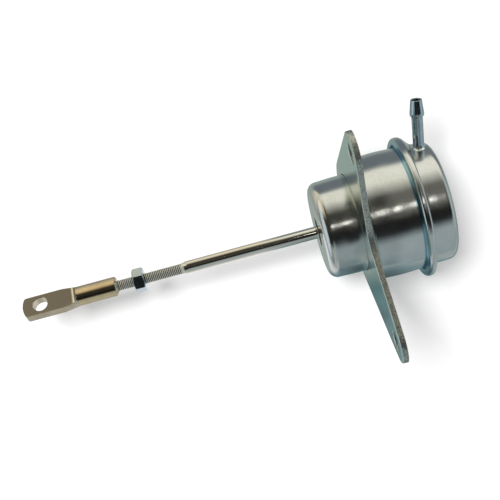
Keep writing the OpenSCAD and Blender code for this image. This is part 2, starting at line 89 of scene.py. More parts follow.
class ActuatorSizes(bpy.types.PropertyGroup):
    """Sizes of the actuator's pieces. The main ones repeat the part's own."""
    sheet: length("Sheet", "Thickness of the canister's sheet", 0.8)
    nose_r: length("Nose radius", "Radius of the nose at the bracket", 21.7)
    nose_draft: length("Nose draft", "How much smaller the nose's radius is at its front", 0.3)
    nose_corner: length("Nose corner", "Radius of the nose's front corner", 4.0)
    rod_hole_r: length("Rod hole radius", "Radius of the hole that the rod comes out of", 6.35)
    body_r: length("Body radius", "Radius of the canister behind the bracket", 27.2)
    weld_gap: length("Weld gap", "Gap between the bracket and the canister's step", 0.3)
    step_corner: length("Step corner", "Radius of the step behind the bracket", 1.6)
    ring_reach: length("Ring reach", "Distance from the bracket to the crimped ring", 21.8)
    ring_bend: length("Ring bend", "Radius of the ring's two rounded corners", 1.3)
    lip_edge: length("Lip edge", "Height of the lip's free edge above the canister's wall", 1.2)
    lip_ripple: length("Lip ripple", "Height of the ripples along the lip's free edge", 0.05)
    neck_fillet: length("Neck fillet", "Radius where the wall turns up into the flange", 1.2)
    flange_gap: length("Flange gap", "Gap between the flange's edge and the inside of the ring", 0.7)
    cover_step: length("Cover step", "Height of the ring above the cover's wall", 4.7)
    cover_l: length("Cover length", "Length of the cover behind the ring", 11.5)
    cover_draft: length("Cover draft", "How much smaller the cover's radius is at its rear", 0.2)
    cover_corner: length("Cover corner", "Radius of the cover's rear corner", 3.0)
    cover_fillet: length("Cover fillet", "Radius where the ring runs into the cover's wall", 1.1)
    # Painted shade: the width of the dark line painted along the ring's foot, where shade falls
    crease_w: length("Crease width", "Width of the dark line at the ring's foot", 0.35)
    foot_spread: length("Foot spread", "How far the ring's foot is spread to the rear at most", 5.0)
    weld_fit: length("Weld fit", "Clearance between pieces that are pressed or brazed together", 0.05)
    nose_swell: length("Nose swell", "How far the nose's wall bulges half way along", 0.14)
    body_swell: length("Body swell", "How far the canister's wall bulges half way along", 0.32)
    cover_swell: length("Cover swell", "How far the cover's wall bulges half way along", 0.06)
    unevenness: length("Unevenness", "Height of the waves that pressing leaves in the sheet", 0.02)
    bolt_half: length("Bolt half spacing", "Half the distance between the bolt holes", 39.0)
    bolt_hole_r: length("Bolt hole radius", "Radius of the bolt holes", 4.25)
    short_ear_r: length("Short ear radius", "Radius of the short arm's end", 8.9)
    long_ear_r: length("Long ear radius", "Radius of the long arm's end", 9.5)
    hub_margin: length("Hub margin", "How far the plate's round edge stands out from the canister", 1.2)
    dip_y: length("Dip place", "Distance of the dip's centre from the canister's axis", -4.0)
    dip_rise: length("Dip rise", "Height of the dip's lowest point above the plate's round edge", 3.1)
    dip_r: length("Dip radius", "Radius of the dip between the arms", 12.0)
    plate_clearance: length("Plate clearance", "Gap between the bracket and the nose", 0.24)
    hole_wander: length("Hole wander", "How far the gap round the nose gets wider and narrower", 0.09)
    hole_round: length("Hole rounding", "Rounding of the large hole's front edge", 0.2)
    roll_over: length("Roll-over", "Rounding of the plate's punched edge", 0.45)
    burr_round: length("Burr rounding", "Rounding of the plate's other edge", 0.12)
    fracture: length("Fracture", "Depth of the torn grain on the plate's sheared edge", 0.05)
    stem_r: length("Stem radius", "Radius of the hose nipple's stem", 2.4)
    barb_r: length("Barb radius", "Largest radius of the barb", 3.05)
    barb_l: length("Barb length", "Length of the barb's front taper", 5.7)
    barb_band: length("Barb band", "Length of the straight band at the barb's largest radius", 1.0)
    barb_back: length("Barb back", "Length of the barb's short back taper", 1.0)
    nipple_l: length("Nipple length", "Length of the nipple outside the cover", 21.3)
    nipple_inside: length("Nipple inside", "How far the nipple reaches inside the cover", 0.8)
    tip_r: length("Tip radius", "Radius of the nipple's tip", 2.4)
    nipple_bore_r: length("Nipple bore", "Radius of the nipple's bore", 1.6)
    braze_w: length("Braze width", "Width of the braze round the nipple's foot", 1.5)
    rod_r: length("Rod radius", "Radius of the plain rod", 2.775)
    thread_r: length("Thread radius", "Outside radius of the thread", 2.415)
    thread_pitch: length("Thread pitch", "Pitch of the thread", 0.794)
    thread_depth: length("Thread depth", "Depth of the thread's grooves", 0.32)
    thread_reach: length("Thread reach", "Distance from the bracket to the inner end of the thread", 77.6)
    rod_cone: length("Rod cone", "Length of the cone between the rod and the thread", 1.7)
    tail_r: length("Tail radius", "Radius of the rod's riveted end", 2.1)
    rivet_r: length("Rivet radius", "Radius of the rivet head", 3.7)
    rivet_h: length("Rivet height", "Height of the rivet head", 1.5)
    nut_flats: length("Nut flats", "Width across the nut's flats", 9.5)
    nut_round: length("Nut rounding", "Rounding of the nut's corners", 0.12)
    thread_play: length("Thread play", "Radial clearance of the nut on the thread", 0.05)
    tongue_half: length("Tongue half width", "Half the tongue's width", 4.85)
    tongue_thin: length("Tongue half thickness", "Half the tongue's thickness", 2.2)
    tongue_back: length("Tongue back", "Length of the tongue behind the eye", 14.3)
    runout: length("Run-out", "Radius of the run-out from the flat to the shank", 2.3)
    neck_l: length("Neck length", "Length over which the tongue narrows into the shank", 7.0)
    tip_round: length("Tip round", "Radius of the tongue's rounded tip", 11.0)
    tip_corner: length("Tip corner", "Corner radius of the tongue's tip", 1.2)
    shank_r: length("Shank radius", "Radius of the round shank", 4.42)
    shank_chamfer: length("Shank chamfer", "Chamfer at the shank's open end", 0.8)
    tapped_l: length("Tapped length", "Depth of the threaded hole", 16.0)
    eye_r: length("Eye radius", "Radius of the eye", 3.3)
    edge_round: length("Edge rounding", "Rounding of the rod end's machined edges", 0.25)
    wire_r: length("Wire radius", "Radius of the return spring's wire", 1.4)


class ActuatorFinish(bpy.types.PropertyGroup):
    """Colours of the actuator's metals and rubbers."""
    zinc: colour("Zinc", "Zinc plate on the canister", (0.645, 0.66, 0.658))
    zinc_warm: colour("Warm zinc", "Faint warm patches in the canister's plate", (0.63, 0.605, 0.53))
    pit: colour("Pit", "Tiny pits in the canister's plate", (0.20, 0.21, 0.20))
    # Painted shade and reflection: the blue that stands in for the shade and the reflections in the canister's
    # neck
    neck_shade_blue: colour("Hollow blue", "Passivation tint in the canister's hollows", (0.17, 0.40, 0.52))
    plate_zinc: colour("Plate zinc", "Greenish zinc plate on the bracket", (0.50, 0.62, 0.57))
    sheared: colour("Sheared edge", "Torn steel on the bracket's edge", (0.50, 0.50, 0.47))
    nipple_blue: colour("Nipple blue", "Zinc plate on the hose nipple", (0.47, 0.56, 0.62))
    braze: colour("Braze", "Bright braze round the nipple", (0.72, 0.78, 0.80))
    rod_steel: colour("Rod steel", "Drawn and plated rod", (0.72, 0.695, 0.64))
    thread_crest: colour("Thread crest", "Matter steel on the thread's crests", (0.66, 0.655, 0.57))
    # Painted shade: the dark colour given to the thread's grooves, where shade falls
    groove: colour("Groove", "Dulled steel down in the thread's grooves", (0.05, 0.047, 0.04))
    nut_zinc: colour("Nut zinc", "Zinc plate on the nut", (0.54, 0.62, 0.69))
    nickel: colour("Nickel", "Warm nickel on the rod end", (0.64, 0.57, 0.44))
    milled: colour("Milled face", "Matte milled face of the tongue", (0.215, 0.195, 0.165))
    inner_steel: colour("Inner steel", "Plain pressed steel inside", (0.50, 0.51, 0.50))
    spring_steel: colour("Spring steel", "Oiled spring steel", (0.16, 0.165, 0.17))
    bronze: colour("Bronze", "Sintered bronze of the guide bush", (0.55, 0.34, 0.14))
    rubber: colour("Rubber", "Black rubber", (0.022, 0.022, 0.021))
    nylon: colour("Nylon", "Off-white nylon of the spring pad", (0.74, 0.71, 0.62))
    weld: colour("Weld", "Oxidised weld metal", (0.30, 0.29, 0.27))


def unit(vectors):
    """Vectors divided by their own lengths."""
    return vectors / np.maximum(np.linalg.norm(vectors, axis=-1, keepdims=True), 1e-12)


def rounded(corners, closed=False, step=1.0 * MM, turn=np.radians(7)):
    """A chain of straight lines with its corners rounded, from (station, radius, corner radius) triples.
    At a corner with the angle A between its lines, the arc of radius R starts R / tan(A / 2) before
    the corner and its centre is R / sin(A / 2) from it on the bisector. Lines are divided by step
    and arcs by turn."""
    spots = np.array([corner[:2] for corner in corners], float)
    radii = np.array([corner[2] for corner in corners], float)
    back = unit(np.roll(spots, 1, axis=0) - spots)
    ahead = unit(np.roll(spots, -1, axis=0) - spots)
    half = np.arccos(np.clip((back * ahead).sum(1), -1, 1)) / 2
    if not closed:
        radii[[0, -1]] = 0
    pieces = []
    for spot, radius, to_back, to_ahead, a in zip(spots, radii, back, ahead, half):
        if radius <= 0:
            pieces.append(spot[None])
            continue
        centre = spot + unit(to_back + to_ahead) * radius / np.sin(a)
        start = spot + to_back * radius / np.tan(a) - centre
        sweep = np.pi - 2 * a
        side = np.sign(to_back[0] * to_ahead[1] - to_back[1] * to_ahead[0])
        t = -side * np.linspace(0, sweep, max(3, int(np.ceil(sweep / turn)) + 1))
        pieces.append(centre + np.stack([
            start[0] * np.cos(t) - start[1] * np.sin(t),
            start[0] * np.sin(t) + start[1] * np.cos(t)], axis=1))
    line = np.concatenate(pieces + ([pieces[0][:1]] if closed else []))
    gaps = np.linalg.norm(np.diff(line, axis=0), axis=1)
    counts = np.maximum(1, np.ceil(gaps / step)).astype(int)
    starts = np.repeat(line[:-1], counts, axis=0)
    spans = np.repeat(np.diff(line, axis=0) / counts[:, None], counts, axis=0)
    rank = np.arange(counts.sum()) - np.repeat(np.cumsum(counts) - counts, counts)
    filled = starts + spans * rank[:, None]
    return filled if closed else np.concatenate([filled, line[-1:]])


def cross_axes(axis):
    """Two unit vectors at right angles to an axis and to each other."""
    first = unit(np.cross(axis, [0.0, 0.0, 1.0]) if abs(axis[2]) < 0.9 else np.cross(axis, [0.0, 1.0, 0.0]))
    return first, np.cross(axis, first)


def round_angles(sides):
    """Angles that divide a full turn into equal steps, without its end."""
    return np.linspace(0, 2 * np.pi, sides, endpoint=False)


def turned(stations, radii, sides, origin=AXIS, axis=ALONG):
    """A surface turned about an axis: origin + station * axis + radius * (cos T * first + sin T * second).
    The stations and radii are arrays of rows, or of rows by sides."""
    first, second = cross_axes(axis)
    angle = round_angles(sides)
    radii = np.broadcast_to(radii.reshape(len(radii), -1), (len(radii), sides))
    stations = np.broadcast_to(stations.reshape(len(stations), -1), (len(stations), sides))
    spoke = np.cos(angle)[:, None] * first + np.sin(angle)[:, None] * second
    return origin + stations[..., None] * axis + radii[..., None] * spoke


def skin(grid, ends=(None, None), ring=False):
    """Vertices and quads of a grid whose columns run round the piece. A row of columns may be closed by
    an end point, and ring joins the last row to the first. Faces are turned outwards by the sign
    of the sum of (a . b x c) / 6 over all triangles, which is the volume."""
    rows, columns = grid.shape[:2]
    index = np.arange(rows * columns).reshape(rows, columns)
    vertices = grid.reshape(-1, 3)
    if ring:
        index = np.vstack([index, index[:1]])
    beside = np.roll(index, -1, axis=1)
    quads = np.stack([index[:-1], beside[:-1], beside[1:], index[1:]], axis=-1).reshape(-1, 4)
    fans = []
    for point, row, flip in ((ends[0], 0, True), (ends[1], -1, False)):
        if point is None:
            continue
        tip = np.full(columns, len(vertices))
        vertices = np.vstack([vertices, point])
        fan = np.stack([index[row], beside[row], tip], axis=-1)
        fans.append(fan[:, ::-1] if flip else fan)
    triangles = np.vstack(fans) if fans else np.zeros((0, 3), int)
    every = np.vstack([quads[:, :3], quads[:, [0, 2, 3]], triangles])
    a, b, c = (vertices[every[:, k]] for k in range(3))
    if (a * np.cross(b, c)).sum() < 0:
        quads, triangles = quads[:, ::-1], triangles[:, ::-1]
    return vertices, quads, triangles


def capped(grid):
    """The skin of a grid that is closed at both ends, by fans to the middles of its end rows."""
    return skin(grid, (grid[0].mean(0), grid[-1].mean(0)))


def level_square(half, z):
    """The corners and the one face of a level square."""
    corners = half * np.array([[-1, -1, 0], [1, -1, 0], [1, 1, 0], [-1, 1, 0]])
    return corners + [0, 0, z], np.array([[0, 1, 2, 3]])


def mesh_object(name, vertices, quads, triangles=None):
    """A smooth mesh object at the origin, filled with foreach_set from whole arrays."""
    triangles = np.zeros((0, 3), int) if triangles is None else triangles
    mesh = bpy.data.meshes.new(name)
    mesh.vertices.add(len(vertices))
    mesh.vertices.foreach_set("co", np.asarray(vertices, np.float32).ravel())
    sizes = np.concatenate([np.full(len(quads), 4), np.full(len(triangles), 3)])
    corners = np.concatenate([quads.ravel(), triangles.ravel()])
    mesh.loops.add(len(corners))
    mesh.loops.foreach_set("vertex_index", corners.astype(np.int32))
    mesh.polygons.add(len(sizes))
    mesh.polygons.foreach_set("loop_start", (np.cumsum(sizes) - sizes).astype(np.int32))
    mesh.update(calc_edges=True)
    mesh.validate()
    mesh.shade_smooth()
    thing = bpy.data.objects.new(name, mesh)
    bpy.context.scene.collection.objects.link(thing)
    return thing


def cut(thing, cutter):
    """Takes the cutter's solid away from the piece and deletes the cutter."""
    boolean = thing.modifiers.new("cut", "BOOLEAN")
    boolean.operation = "DIFFERENCE"
    boolean.solver = "MANIFOLD"
    boolean.object = cutter
    bpy.context.view_layer.update()
    evaluated = thing.evaluated_get(bpy.context.evaluated_depsgraph_get())
    whole = bpy.data.meshes.new_from_object(evaluated)
    old = thing.data
    thing.modifiers.remove(boolean)
    thing.data = whole
    whole.name = thing.name
    bpy.data.meshes.remove(old)
    bpy.data.objects.remove(cutter)


def coat(thing, material):
    """Gives an object its one material."""
    thing.data.materials.clear()
    thing.data.materials.append(material)


def finish_piece(thing, body, material, nodes, sharp=40):
    """Gives a piece its material, marks edges sharper than an angle in degrees, and says what the piece
    rides on and which nodes it stands for."""
    coat(thing, material)
    thing.data.set_sharp_from_angle(angle=np.radians(sharp))
    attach(thing, body)
    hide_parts(*nodes)


def swell(profile, start, end, height):
    """Adds height * sin(pi * t) ** 2 to the radii between two stations, where t runs from 0 to 1."""
    t = np.clip((profile[:, 0] - start) / (end - start), 0, 1)
    profile[:, 1] += height * np.sin(np.pi * t) ** 2
    return profile


def pressed_waves(stations, sides, height):
    """Shallow waves left by pressing: a sum of four long waves in the station and the angle."""
    x = stations[:, None] / MM
    angle = round_angles(sides)[None]
    return height * (
        0.9 * np.cos(2 * angle + 0.6)
        + 0.35 * np.sin(3 * angle + 0.31 * x)
        + 0.22 * np.sin(7 * angle - 0.47 * x + 1.1)
        + 0.16 * np.sin(11 * angle + 0.83 * x + 2.3))


# The range that a noise seldom leaves
NOISE_LOW = 0.3
NOISE_HIGH = 0.7


class Recipe:
    """A material's or a world's node tree, written with one call for each node."""

    def __init__(self, name, holder=None):
        """Starts with an empty tree in a new material, or in a new member of the holder."""
        holder = bpy.data.materials if holder is None else holder
        self.owner = holder.new(name)
        self.owner.use_nodes = True
        self.tree = self.owner.node_tree
        self.tree.nodes.clear()

    def add(self, kind, inputs=None, **settings):
        """A node with its settings, and its inputs given as values or as sockets to join."""
        node = self.tree.nodes.new(kind)
        for key, value in settings.items():
            setattr(node, key, value)
        for key, value in (inputs or {}).items():
            if isinstance(value, bpy.types.NodeSocket):
                self.tree.links.new(value, node.inputs[key])
            else:
                node.inputs[key].default_value = value
        return node

    def place(self, scale=(1, 1, 1), location=(0, 0, 0)):
        """Object coordinates, moved and then stretched."""
        coordinates = self.add("ShaderNodeTexCoord").outputs["Object"]
        return self.vector("MULTIPLY", self.vector("SUBTRACT", coordinates, location), scale)

    def noise(self, size, detail=2.0, stretch=(1, 1, 1), roughness=0.5):
        """Noise with features of about a size, in metres, on coordinates centred on the canister's axis."""
        scale = tuple(s / size for s in stretch)
        return self.add("ShaderNodeTexNoise", {
            "Vector": self.place(scale, tuple(AXIS)), "Scale": 1.0, "Detail": detail,
            "Roughness": roughness}).outputs["Fac"]

    def vector(self, operation, first, second=(0, 0, 0), output=0):
        """One operation on vectors."""
        return self.add("ShaderNodeVectorMath", {0: first, 1: second}, operation=operation).outputs[output]

    def component(self, vector, index):
        """One of a vector's three numbers."""
        return self.add("ShaderNodeSeparateXYZ", {0: vector}).outputs[index]

    def normal(self):
        """The direction in which the surface faces."""
        return self.add("ShaderNodeNewGeometry").outputs["Normal"]

    def math(self, operation, first, second=0.0):
        """One operation on numbers."""
        return self.add("ShaderNodeMath", {0: first, 1: second}, operation=operation).outputs[0]

    def product(self, *values):
        """Values multiplied together."""
        result = values[0]
        for value in values[1:]:
            result = self.math("MULTIPLY", result, value)
        return result

    def remap(self, value, low, high, to_low=0.0, to_high=1.0, smooth=False):
        """A value taken from one range to another, held at its ends."""
        return self.add("ShaderNodeMapRange", {
            "Value": value, "From Min": low, "From Max": high, "To Min": to_low, "To Max": to_high},
            interpolation_type="SMOOTHSTEP" if smooth else "LINEAR").outputs[0]

    def between(self, noise, low, high):
        """A value that goes from low to high while a noise goes from NOISE_LOW to NOISE_HIGH."""
        return self.remap(noise, NOISE_LOW, NOISE_HIGH, low, high)

    def toned(self, noise, base, dark, light):
        """A colour that goes from base * dark to base * light with a noise."""
        return self.mix(self.between(noise, 0.0, 1.0), scaled(base, dark), scaled(base, light))

    def mix(self, share, first, second):
        """Two colours mixed."""
        node = self.add("ShaderNodeMix", {0: share}, data_type="RGBA")
        for key, value in ((6, first), (7, second)):
            if isinstance(value, bpy.types.NodeSocket):
                self.tree.links.new(value, node.inputs[key])
            else:
                node.inputs[key].default_value = (*value, 1.0)
        return node.outputs[2]

    def ramp(self, value, stops):
        """A colour that follows a value through (value, colour) stops."""
        low, high = stops[0][0], stops[-1][0]
        node = self.add("ShaderNodeValToRGB", {"Fac": self.remap(value, low, high)})
        elements = node.color_ramp.elements
        while len(elements) < len(stops):
            elements.new(0.5)
        for element, (place, shade) in zip(elements, stops):
            element.position = (place - low) / (high - low)
            element.color = (*shade, 1.0)
        return node.outputs[0]

    def axis_distance(self):
        """Distance from the canister's axis."""
        return self.vector("LENGTH", self.place((0, 1, 1), tuple(AXIS)), output="Value")

    def station(self):
        """Distance along X from the bracket's front face."""
        return self.component(self.place(), 0)

    def place_on_y(self):
        """Distance along Y from the bolt holes' midpoint."""
        return self.component(self.place(), 1)

    def angle_from_camera(self):
        """Degrees round the canister's axis, from the camera's direction towards the picture's lower side."""
        spot = self.place((1, 1, 1), tuple(AXIS))
        rise = self.vector("DOT_PRODUCT", spot, tuple(TOWARDS_CAMERA), "Value")
        fall = self.vector("DOT_PRODUCT", spot, tuple(PICTURE_DOWN), "Value")
        return self.math("DEGREES", self.math("ARCTAN2", fall, rise))

    def seen_directly(self):
        """1 on rays from the camera, a mirror or glass, and 0 on those that only carry light."""
        path = self.add("ShaderNodeLightPath").outputs
        mirrored = self.math("MAXIMUM", path["Is Glossy Ray"], path["Is Transmission Ray"])
        return self.math("MAXIMUM", path["Is Camera Ray"], mirrored)

    def bump(self, height, strength, distance, normal=None):
        """A bump from a height, on top of another bump if there is one."""
        inputs = {"Height": height, "Strength": strength, "Distance": distance}
        if normal is not None:
            inputs["Normal"] = normal
        return self.add("ShaderNodeBump", inputs).outputs[0]

    def show(self, shader, output="ShaderNodeOutputMaterial"):
        """Joins a shader to the output, and returns the material or the world."""
        self.add(output, {"Surface": shader.outputs[0]})
        return self.owner

    def surface(self, **inputs):
        """The main shader and the output. Names of inputs have underscores for spaces."""
        named = {key.replace("_", " "): value for key, value in inputs.items()}
        return self.show(self.add("ShaderNodeBsdfPrincipled", named))


def scaled(base, factor):
    """A colour made lighter or darker."""
    return tuple(min(1.0, channel * factor) for channel in base)


def zinc_satin(finish, sizes):
    """Satin zinc: fine grain, faint warm and cool patches, pits, a blue painted shade and reflection in the neck's
    groove, and a dark painted shade along the crease at the ring's foot.
    """
    r = Recipe("zinc_satin")
    grain = r.noise(0.6 * MM, 4.0)
    patches = r.noise(9 * MM, 3.0)
    shade = r.toned(patches, finish.zinc, 0.94, 1.05)
    warm = r.noise(14 * MM, 2.0, (0.6, 1, 1))
    shade = r.mix(r.remap(warm, 0.55, 0.8, 0.0, 0.25), shade, finish.zinc_warm)
    shade = r.mix(r.between(grain, 0.0, 0.14), shade, scaled(finish.zinc, 0.5))
    pits = r.remap(r.noise(1.1 * MM, 1.0), 0.74, 0.80)
    shade = r.mix(r.product(pits, 0.5), shade, finish.pit)
    # Painted shade and reflection: a blue tint in the neck's groove, where shade falls
    from_neck = r.math("ABSOLUTE", r.math("SUBTRACT", r.station(), ring_stations(sizes)[0]))
    neck_shade = r.remap(from_neck, 0.5 * MM, 1.3 * MM, 0.75, 0.0, smooth=True)
    below = r.remap(r.axis_distance(), RING_R - 0.9 * MM, RING_R - 0.3 * MM, 1.0, 0.0)
    shade = r.mix(r.product(neck_shade, below), shade, finish.neck_shade_blue)
    # Painted shade: a dark line along the crease at the ring's foot
    crease = r.add("ShaderNodeAttribute", attribute_name="crease").outputs["Fac"]
    shade = r.mix(r.product(crease, 0.75), shade, scaled(finish.zinc, 0.25))
    rough = r.math("ADD", r.between(grain, 0.13, 0.20), r.between(patches, -0.02, 0.03))
    lines = r.noise(0.12 * MM, 2.0, (1, 0.03, 0.03))
    bump = r.bump(grain, 0.3, 0.04 * MM)
    bump = r.bump(lines, 0.05, 0.01 * MM, bump)
    return r.surface(Base_Color=shade, Metallic=1.0, Roughness=rough, Normal=bump)


def zinc_plate(finish):
    """Greenish zinc on the flat faces, and torn steel where the surface faces across X."""
    r = Recipe("zinc_plate")
    facing = r.math("ABSOLUTE", r.component(r.normal(), 0))
    edge = r.remap(facing, 0.35, 0.75, 1.0, 0.0, smooth=True)
    patches = r.noise(8 * MM, 3.0)
    face = r.toned(patches, finish.plate_zinc, 0.9, 1.08)
    tear = r.noise(0.65 * MM, 3.0, (1, 1, 1), 0.6)
    streak = r.noise(0.5 * MM, 2.0, (0.25, 1, 1))
    torn = r.mix(r.remap(tear, 0.35, 0.68), scaled(finish.sheared, 0.5), scaled(finish.sheared, 1.35))
    torn = r.mix(r.remap(streak, 0.5, 0.8, 0.0, 0.5), torn, finish.plate_zinc)
    rough = r.math("ADD", r.between(patches, 0.14, 0.24), r.product(edge, 0.22))
    bump = r.bump(r.noise(0.4 * MM, 2.0), 0.12, 0.02 * MM)
    bump = r.bump(r.product(tear, edge), 0.9, 0.12 * MM, bump)
    return r.surface(Base_Color=r.mix(edge, face, torn), Metallic=1.0, Roughness=rough, Normal=bump)


def plated(name, base, rough, grain_size, grain):
    """A plated metal with patches of slightly different tone and a fine grain."""
    r = Recipe(name)
    fine = r.noise(grain_size, 2.0)
    shade = r.toned(r.noise(3 * MM, 3.0), base, 0.92, 1.08)
    bump = r.bump(fine, grain, 0.02 * MM)
    roughness = r.between(fine, rough, rough + 0.07)
    return r.surface(Base_Color=shade, Metallic=1.0, Roughness=roughness, Normal=bump)


def rod_plating(finish, sizes):
    """Drawn steel with long fine lines. The thread is matter, with painted shade down in its grooves."""
    r = Recipe("rod_plating")
    lines = r.noise(0.25 * MM, 3.0, (0.02, 1, 1))
    patches = r.noise(5 * MM, 3.0, (0.3, 1, 1))
    shade = r.toned(patches, finish.rod_steel, 0.92, 1.05)
    # Painted shade: the deeper parts of the thread are darkened towards the groove colour
    depth = r.remap(r.axis_distance(), sizes.thread_r - 0.8 * sizes.thread_depth,
                    sizes.thread_r - 0.3 * sizes.thread_depth, 1.0, 0.0)
    on_thread = r.remap(r.station(), -sizes.thread_reach, -sizes.thread_reach + 0.5 * MM, 1.0, 0.0)
    shade = r.mix(on_thread, shade, finish.thread_crest)
    shade = r.mix(r.product(depth, on_thread), shade, finish.groove)
    rough = r.math("ADD", r.between(lines, 0.06, 0.11), r.product(on_thread, 0.25))
    metal = r.remap(on_thread, 0.0, 1.0, 1.0, 0.62)
    bump = r.bump(lines, 0.08, 0.015 * MM)
    return r.surface(Base_Color=shade, Metallic=metal, Roughness=rough, Normal=bump)


def rod_end_nickel(finish, sizes):
    """Warm nickel: turned rings on the shank, and a matte milled face on the tongue's two flats."""
    r = Recipe("rod_end_nickel")
    facing = r.math("ABSOLUTE", r.vector("DOT_PRODUCT", r.normal(), tuple(EYE_AXIS), "Value"))
    flat_end = EYE_X + sizes.tongue_back
    on_tongue = r.remap(r.station(), flat_end - 0.3 * MM, flat_end + 0.5 * MM, 1.0, 0.0)
    milled = r.product(r.remap(facing, 0.985, 0.998, smooth=True), on_tongue)
    speckle = r.noise(0.3 * MM, 3.0, (1, 1, 1), 0.6)
    base = r.toned(r.noise(4 * MM, 3.0), finish.nickel, 0.9, 1.08)
    face = r.toned(speckle, finish.milled, 0.8, 1.2)
    rings = r.noise(0.1 * MM, 2.0, (1, 0.05, 0.05))
    rough = r.math("ADD", r.between(rings, 0.10, 0.16), r.product(milled, 0.3))
    bump = r.bump(rings, 0.06, 0.015 * MM)
    bump = r.bump(r.product(speckle, milled), 0.35, 0.04 * MM, bump)
    return r.surface(Base_Color=r.mix(milled, base, face), Metallic=1.0, Roughness=rough, Normal=bump)


def dull_metal(name, base, rough):
    """Plain pressed or sintered metal with a mottled tone."""
    r = Recipe(name)
    fine = r.noise(0.2 * MM, 2.0)
    shade = r.toned(r.noise(1.2 * MM, 4.0), base, 0.8, 1.15)
    bump = r.bump(fine, 0.25, 0.03 * MM)
    roughness = r.between(fine, rough, rough + 0.15)
    return r.surface(Base_Color=shade, Metallic=1.0, Roughness=roughness, Normal=bump)


def moulded(name, base, rough, weave=False):
    """Rubber or nylon with a faint mould texture, and the cords of the fabric inside if it has any."""
    r = Recipe(name)
    fine = r.noise(0.15 * MM, 2.0)
    shade = r.toned(r.noise(2 * MM, 3.0), base, 0.85, 1.2)
    bump = r.bump(fine, 0.3, 0.03 * MM)
    if weave:
        cords = r.add("ShaderNodeTexWave", {"Vector": r.place((1 / MM,) * 3, tuple(AXIS)), "Scale": 0.6},
                      bands_direction="X").outputs["Fac"]
        bump = r.bump(cords, 0.2, 0.05 * MM, bump)
    return r.surface(Base_Color=shade, Roughness=r.between(fine, rough, rough + 0.12), Normal=bump)


def braze_metal(finish):
    """Bright braze with ripples and tiny beads."""
    r = Recipe("braze_metal")
    ripple = r.noise(0.7 * MM, 3.0, (1, 1, 1), 0.6)
    shade = r.mix(r.remap(ripple, 0.35, 0.65), scaled(finish.braze, 0.75), scaled(finish.braze, 1.1))
    bump = r.bump(ripple, 0.6, 0.15 * MM)
    return r.surface(Base_Color=shade, Metallic=1.0, Roughness=r.between(ripple, 0.08, 0.2), Normal=bump)


def ring_stations(s):
    """Stations of the crimped ring's front face, of the flange inside it, and of the ring's rear face."""
    front = PLATE_BACK + s.ring_reach
    return front, front + s.sheet + s.weld_fit, COVER_X - s.cover_l


class ACTUATOR_OT_canister(bpy.types.Operator):
    """Build the pressed front half of the canister, with its nose and its flange"""
    bl_idname = "actuator.canister"
    bl_label = "Canister"
    bl_options = {"REGISTER", "UNDO"}

    def execute(self, context):
        s, finish = context.scene.actuator_sizes, context.scene.actuator_finish
        t = s.sheet
        flange_x = ring_stations(s)[1]
        flange_r = RING_R - t - s.flange_gap
        nose_front_r = s.nose_r - s.nose_draft
        step_x = PLATE_BACK + s.weld_gap
        edge, fold, inner_fold = 0.2 * MM, 0.3 * MM, 1.0 * MM
        profile = rounded([
            (NOSE_X, s.rod_hole_r, edge),
            (NOSE_X, nose_front_r, s.nose_corner),
            (step_x, s.nose_r, fold),
            (step_x, s.body_r, s.step_corner),
            (flange_x, s.body_r, s.neck_fillet),
            (flange_x, flange_r, edge),
            (flange_x + t, flange_r, edge),
            (flange_x + t, s.body_r - t, s.neck_fillet + t),
            (step_x + t, s.body_r - t, s.step_corner - t),
            (step_x + t, s.nose_r - t, inner_fold),
            (NOSE_X + t, nose_front_r - t, s.nose_corner - t),
            (NOSE_X + t, s.rod_hole_r, edge),
        ], closed=True, step=0.8 * MM)
        swell(profile, NOSE_X + s.nose_corner, step_x - 2 * fold, s.nose_swell)
        swell(profile, step_x + s.step_corner, flange_x - s.neck_fillet, s.body_swell)
        sides = 220
        radii = profile[:, 1:] + pressed_waves(profile[:, 0], sides, s.unevenness)
        shell = mesh_object("canister_front_half", *skin(turned(profile[:, 0], radii, sides), ring=True))
        finish_piece(shell, "canister", zinc_satin(finish, s), ["canister_body"])
        return {"FINISHED"}


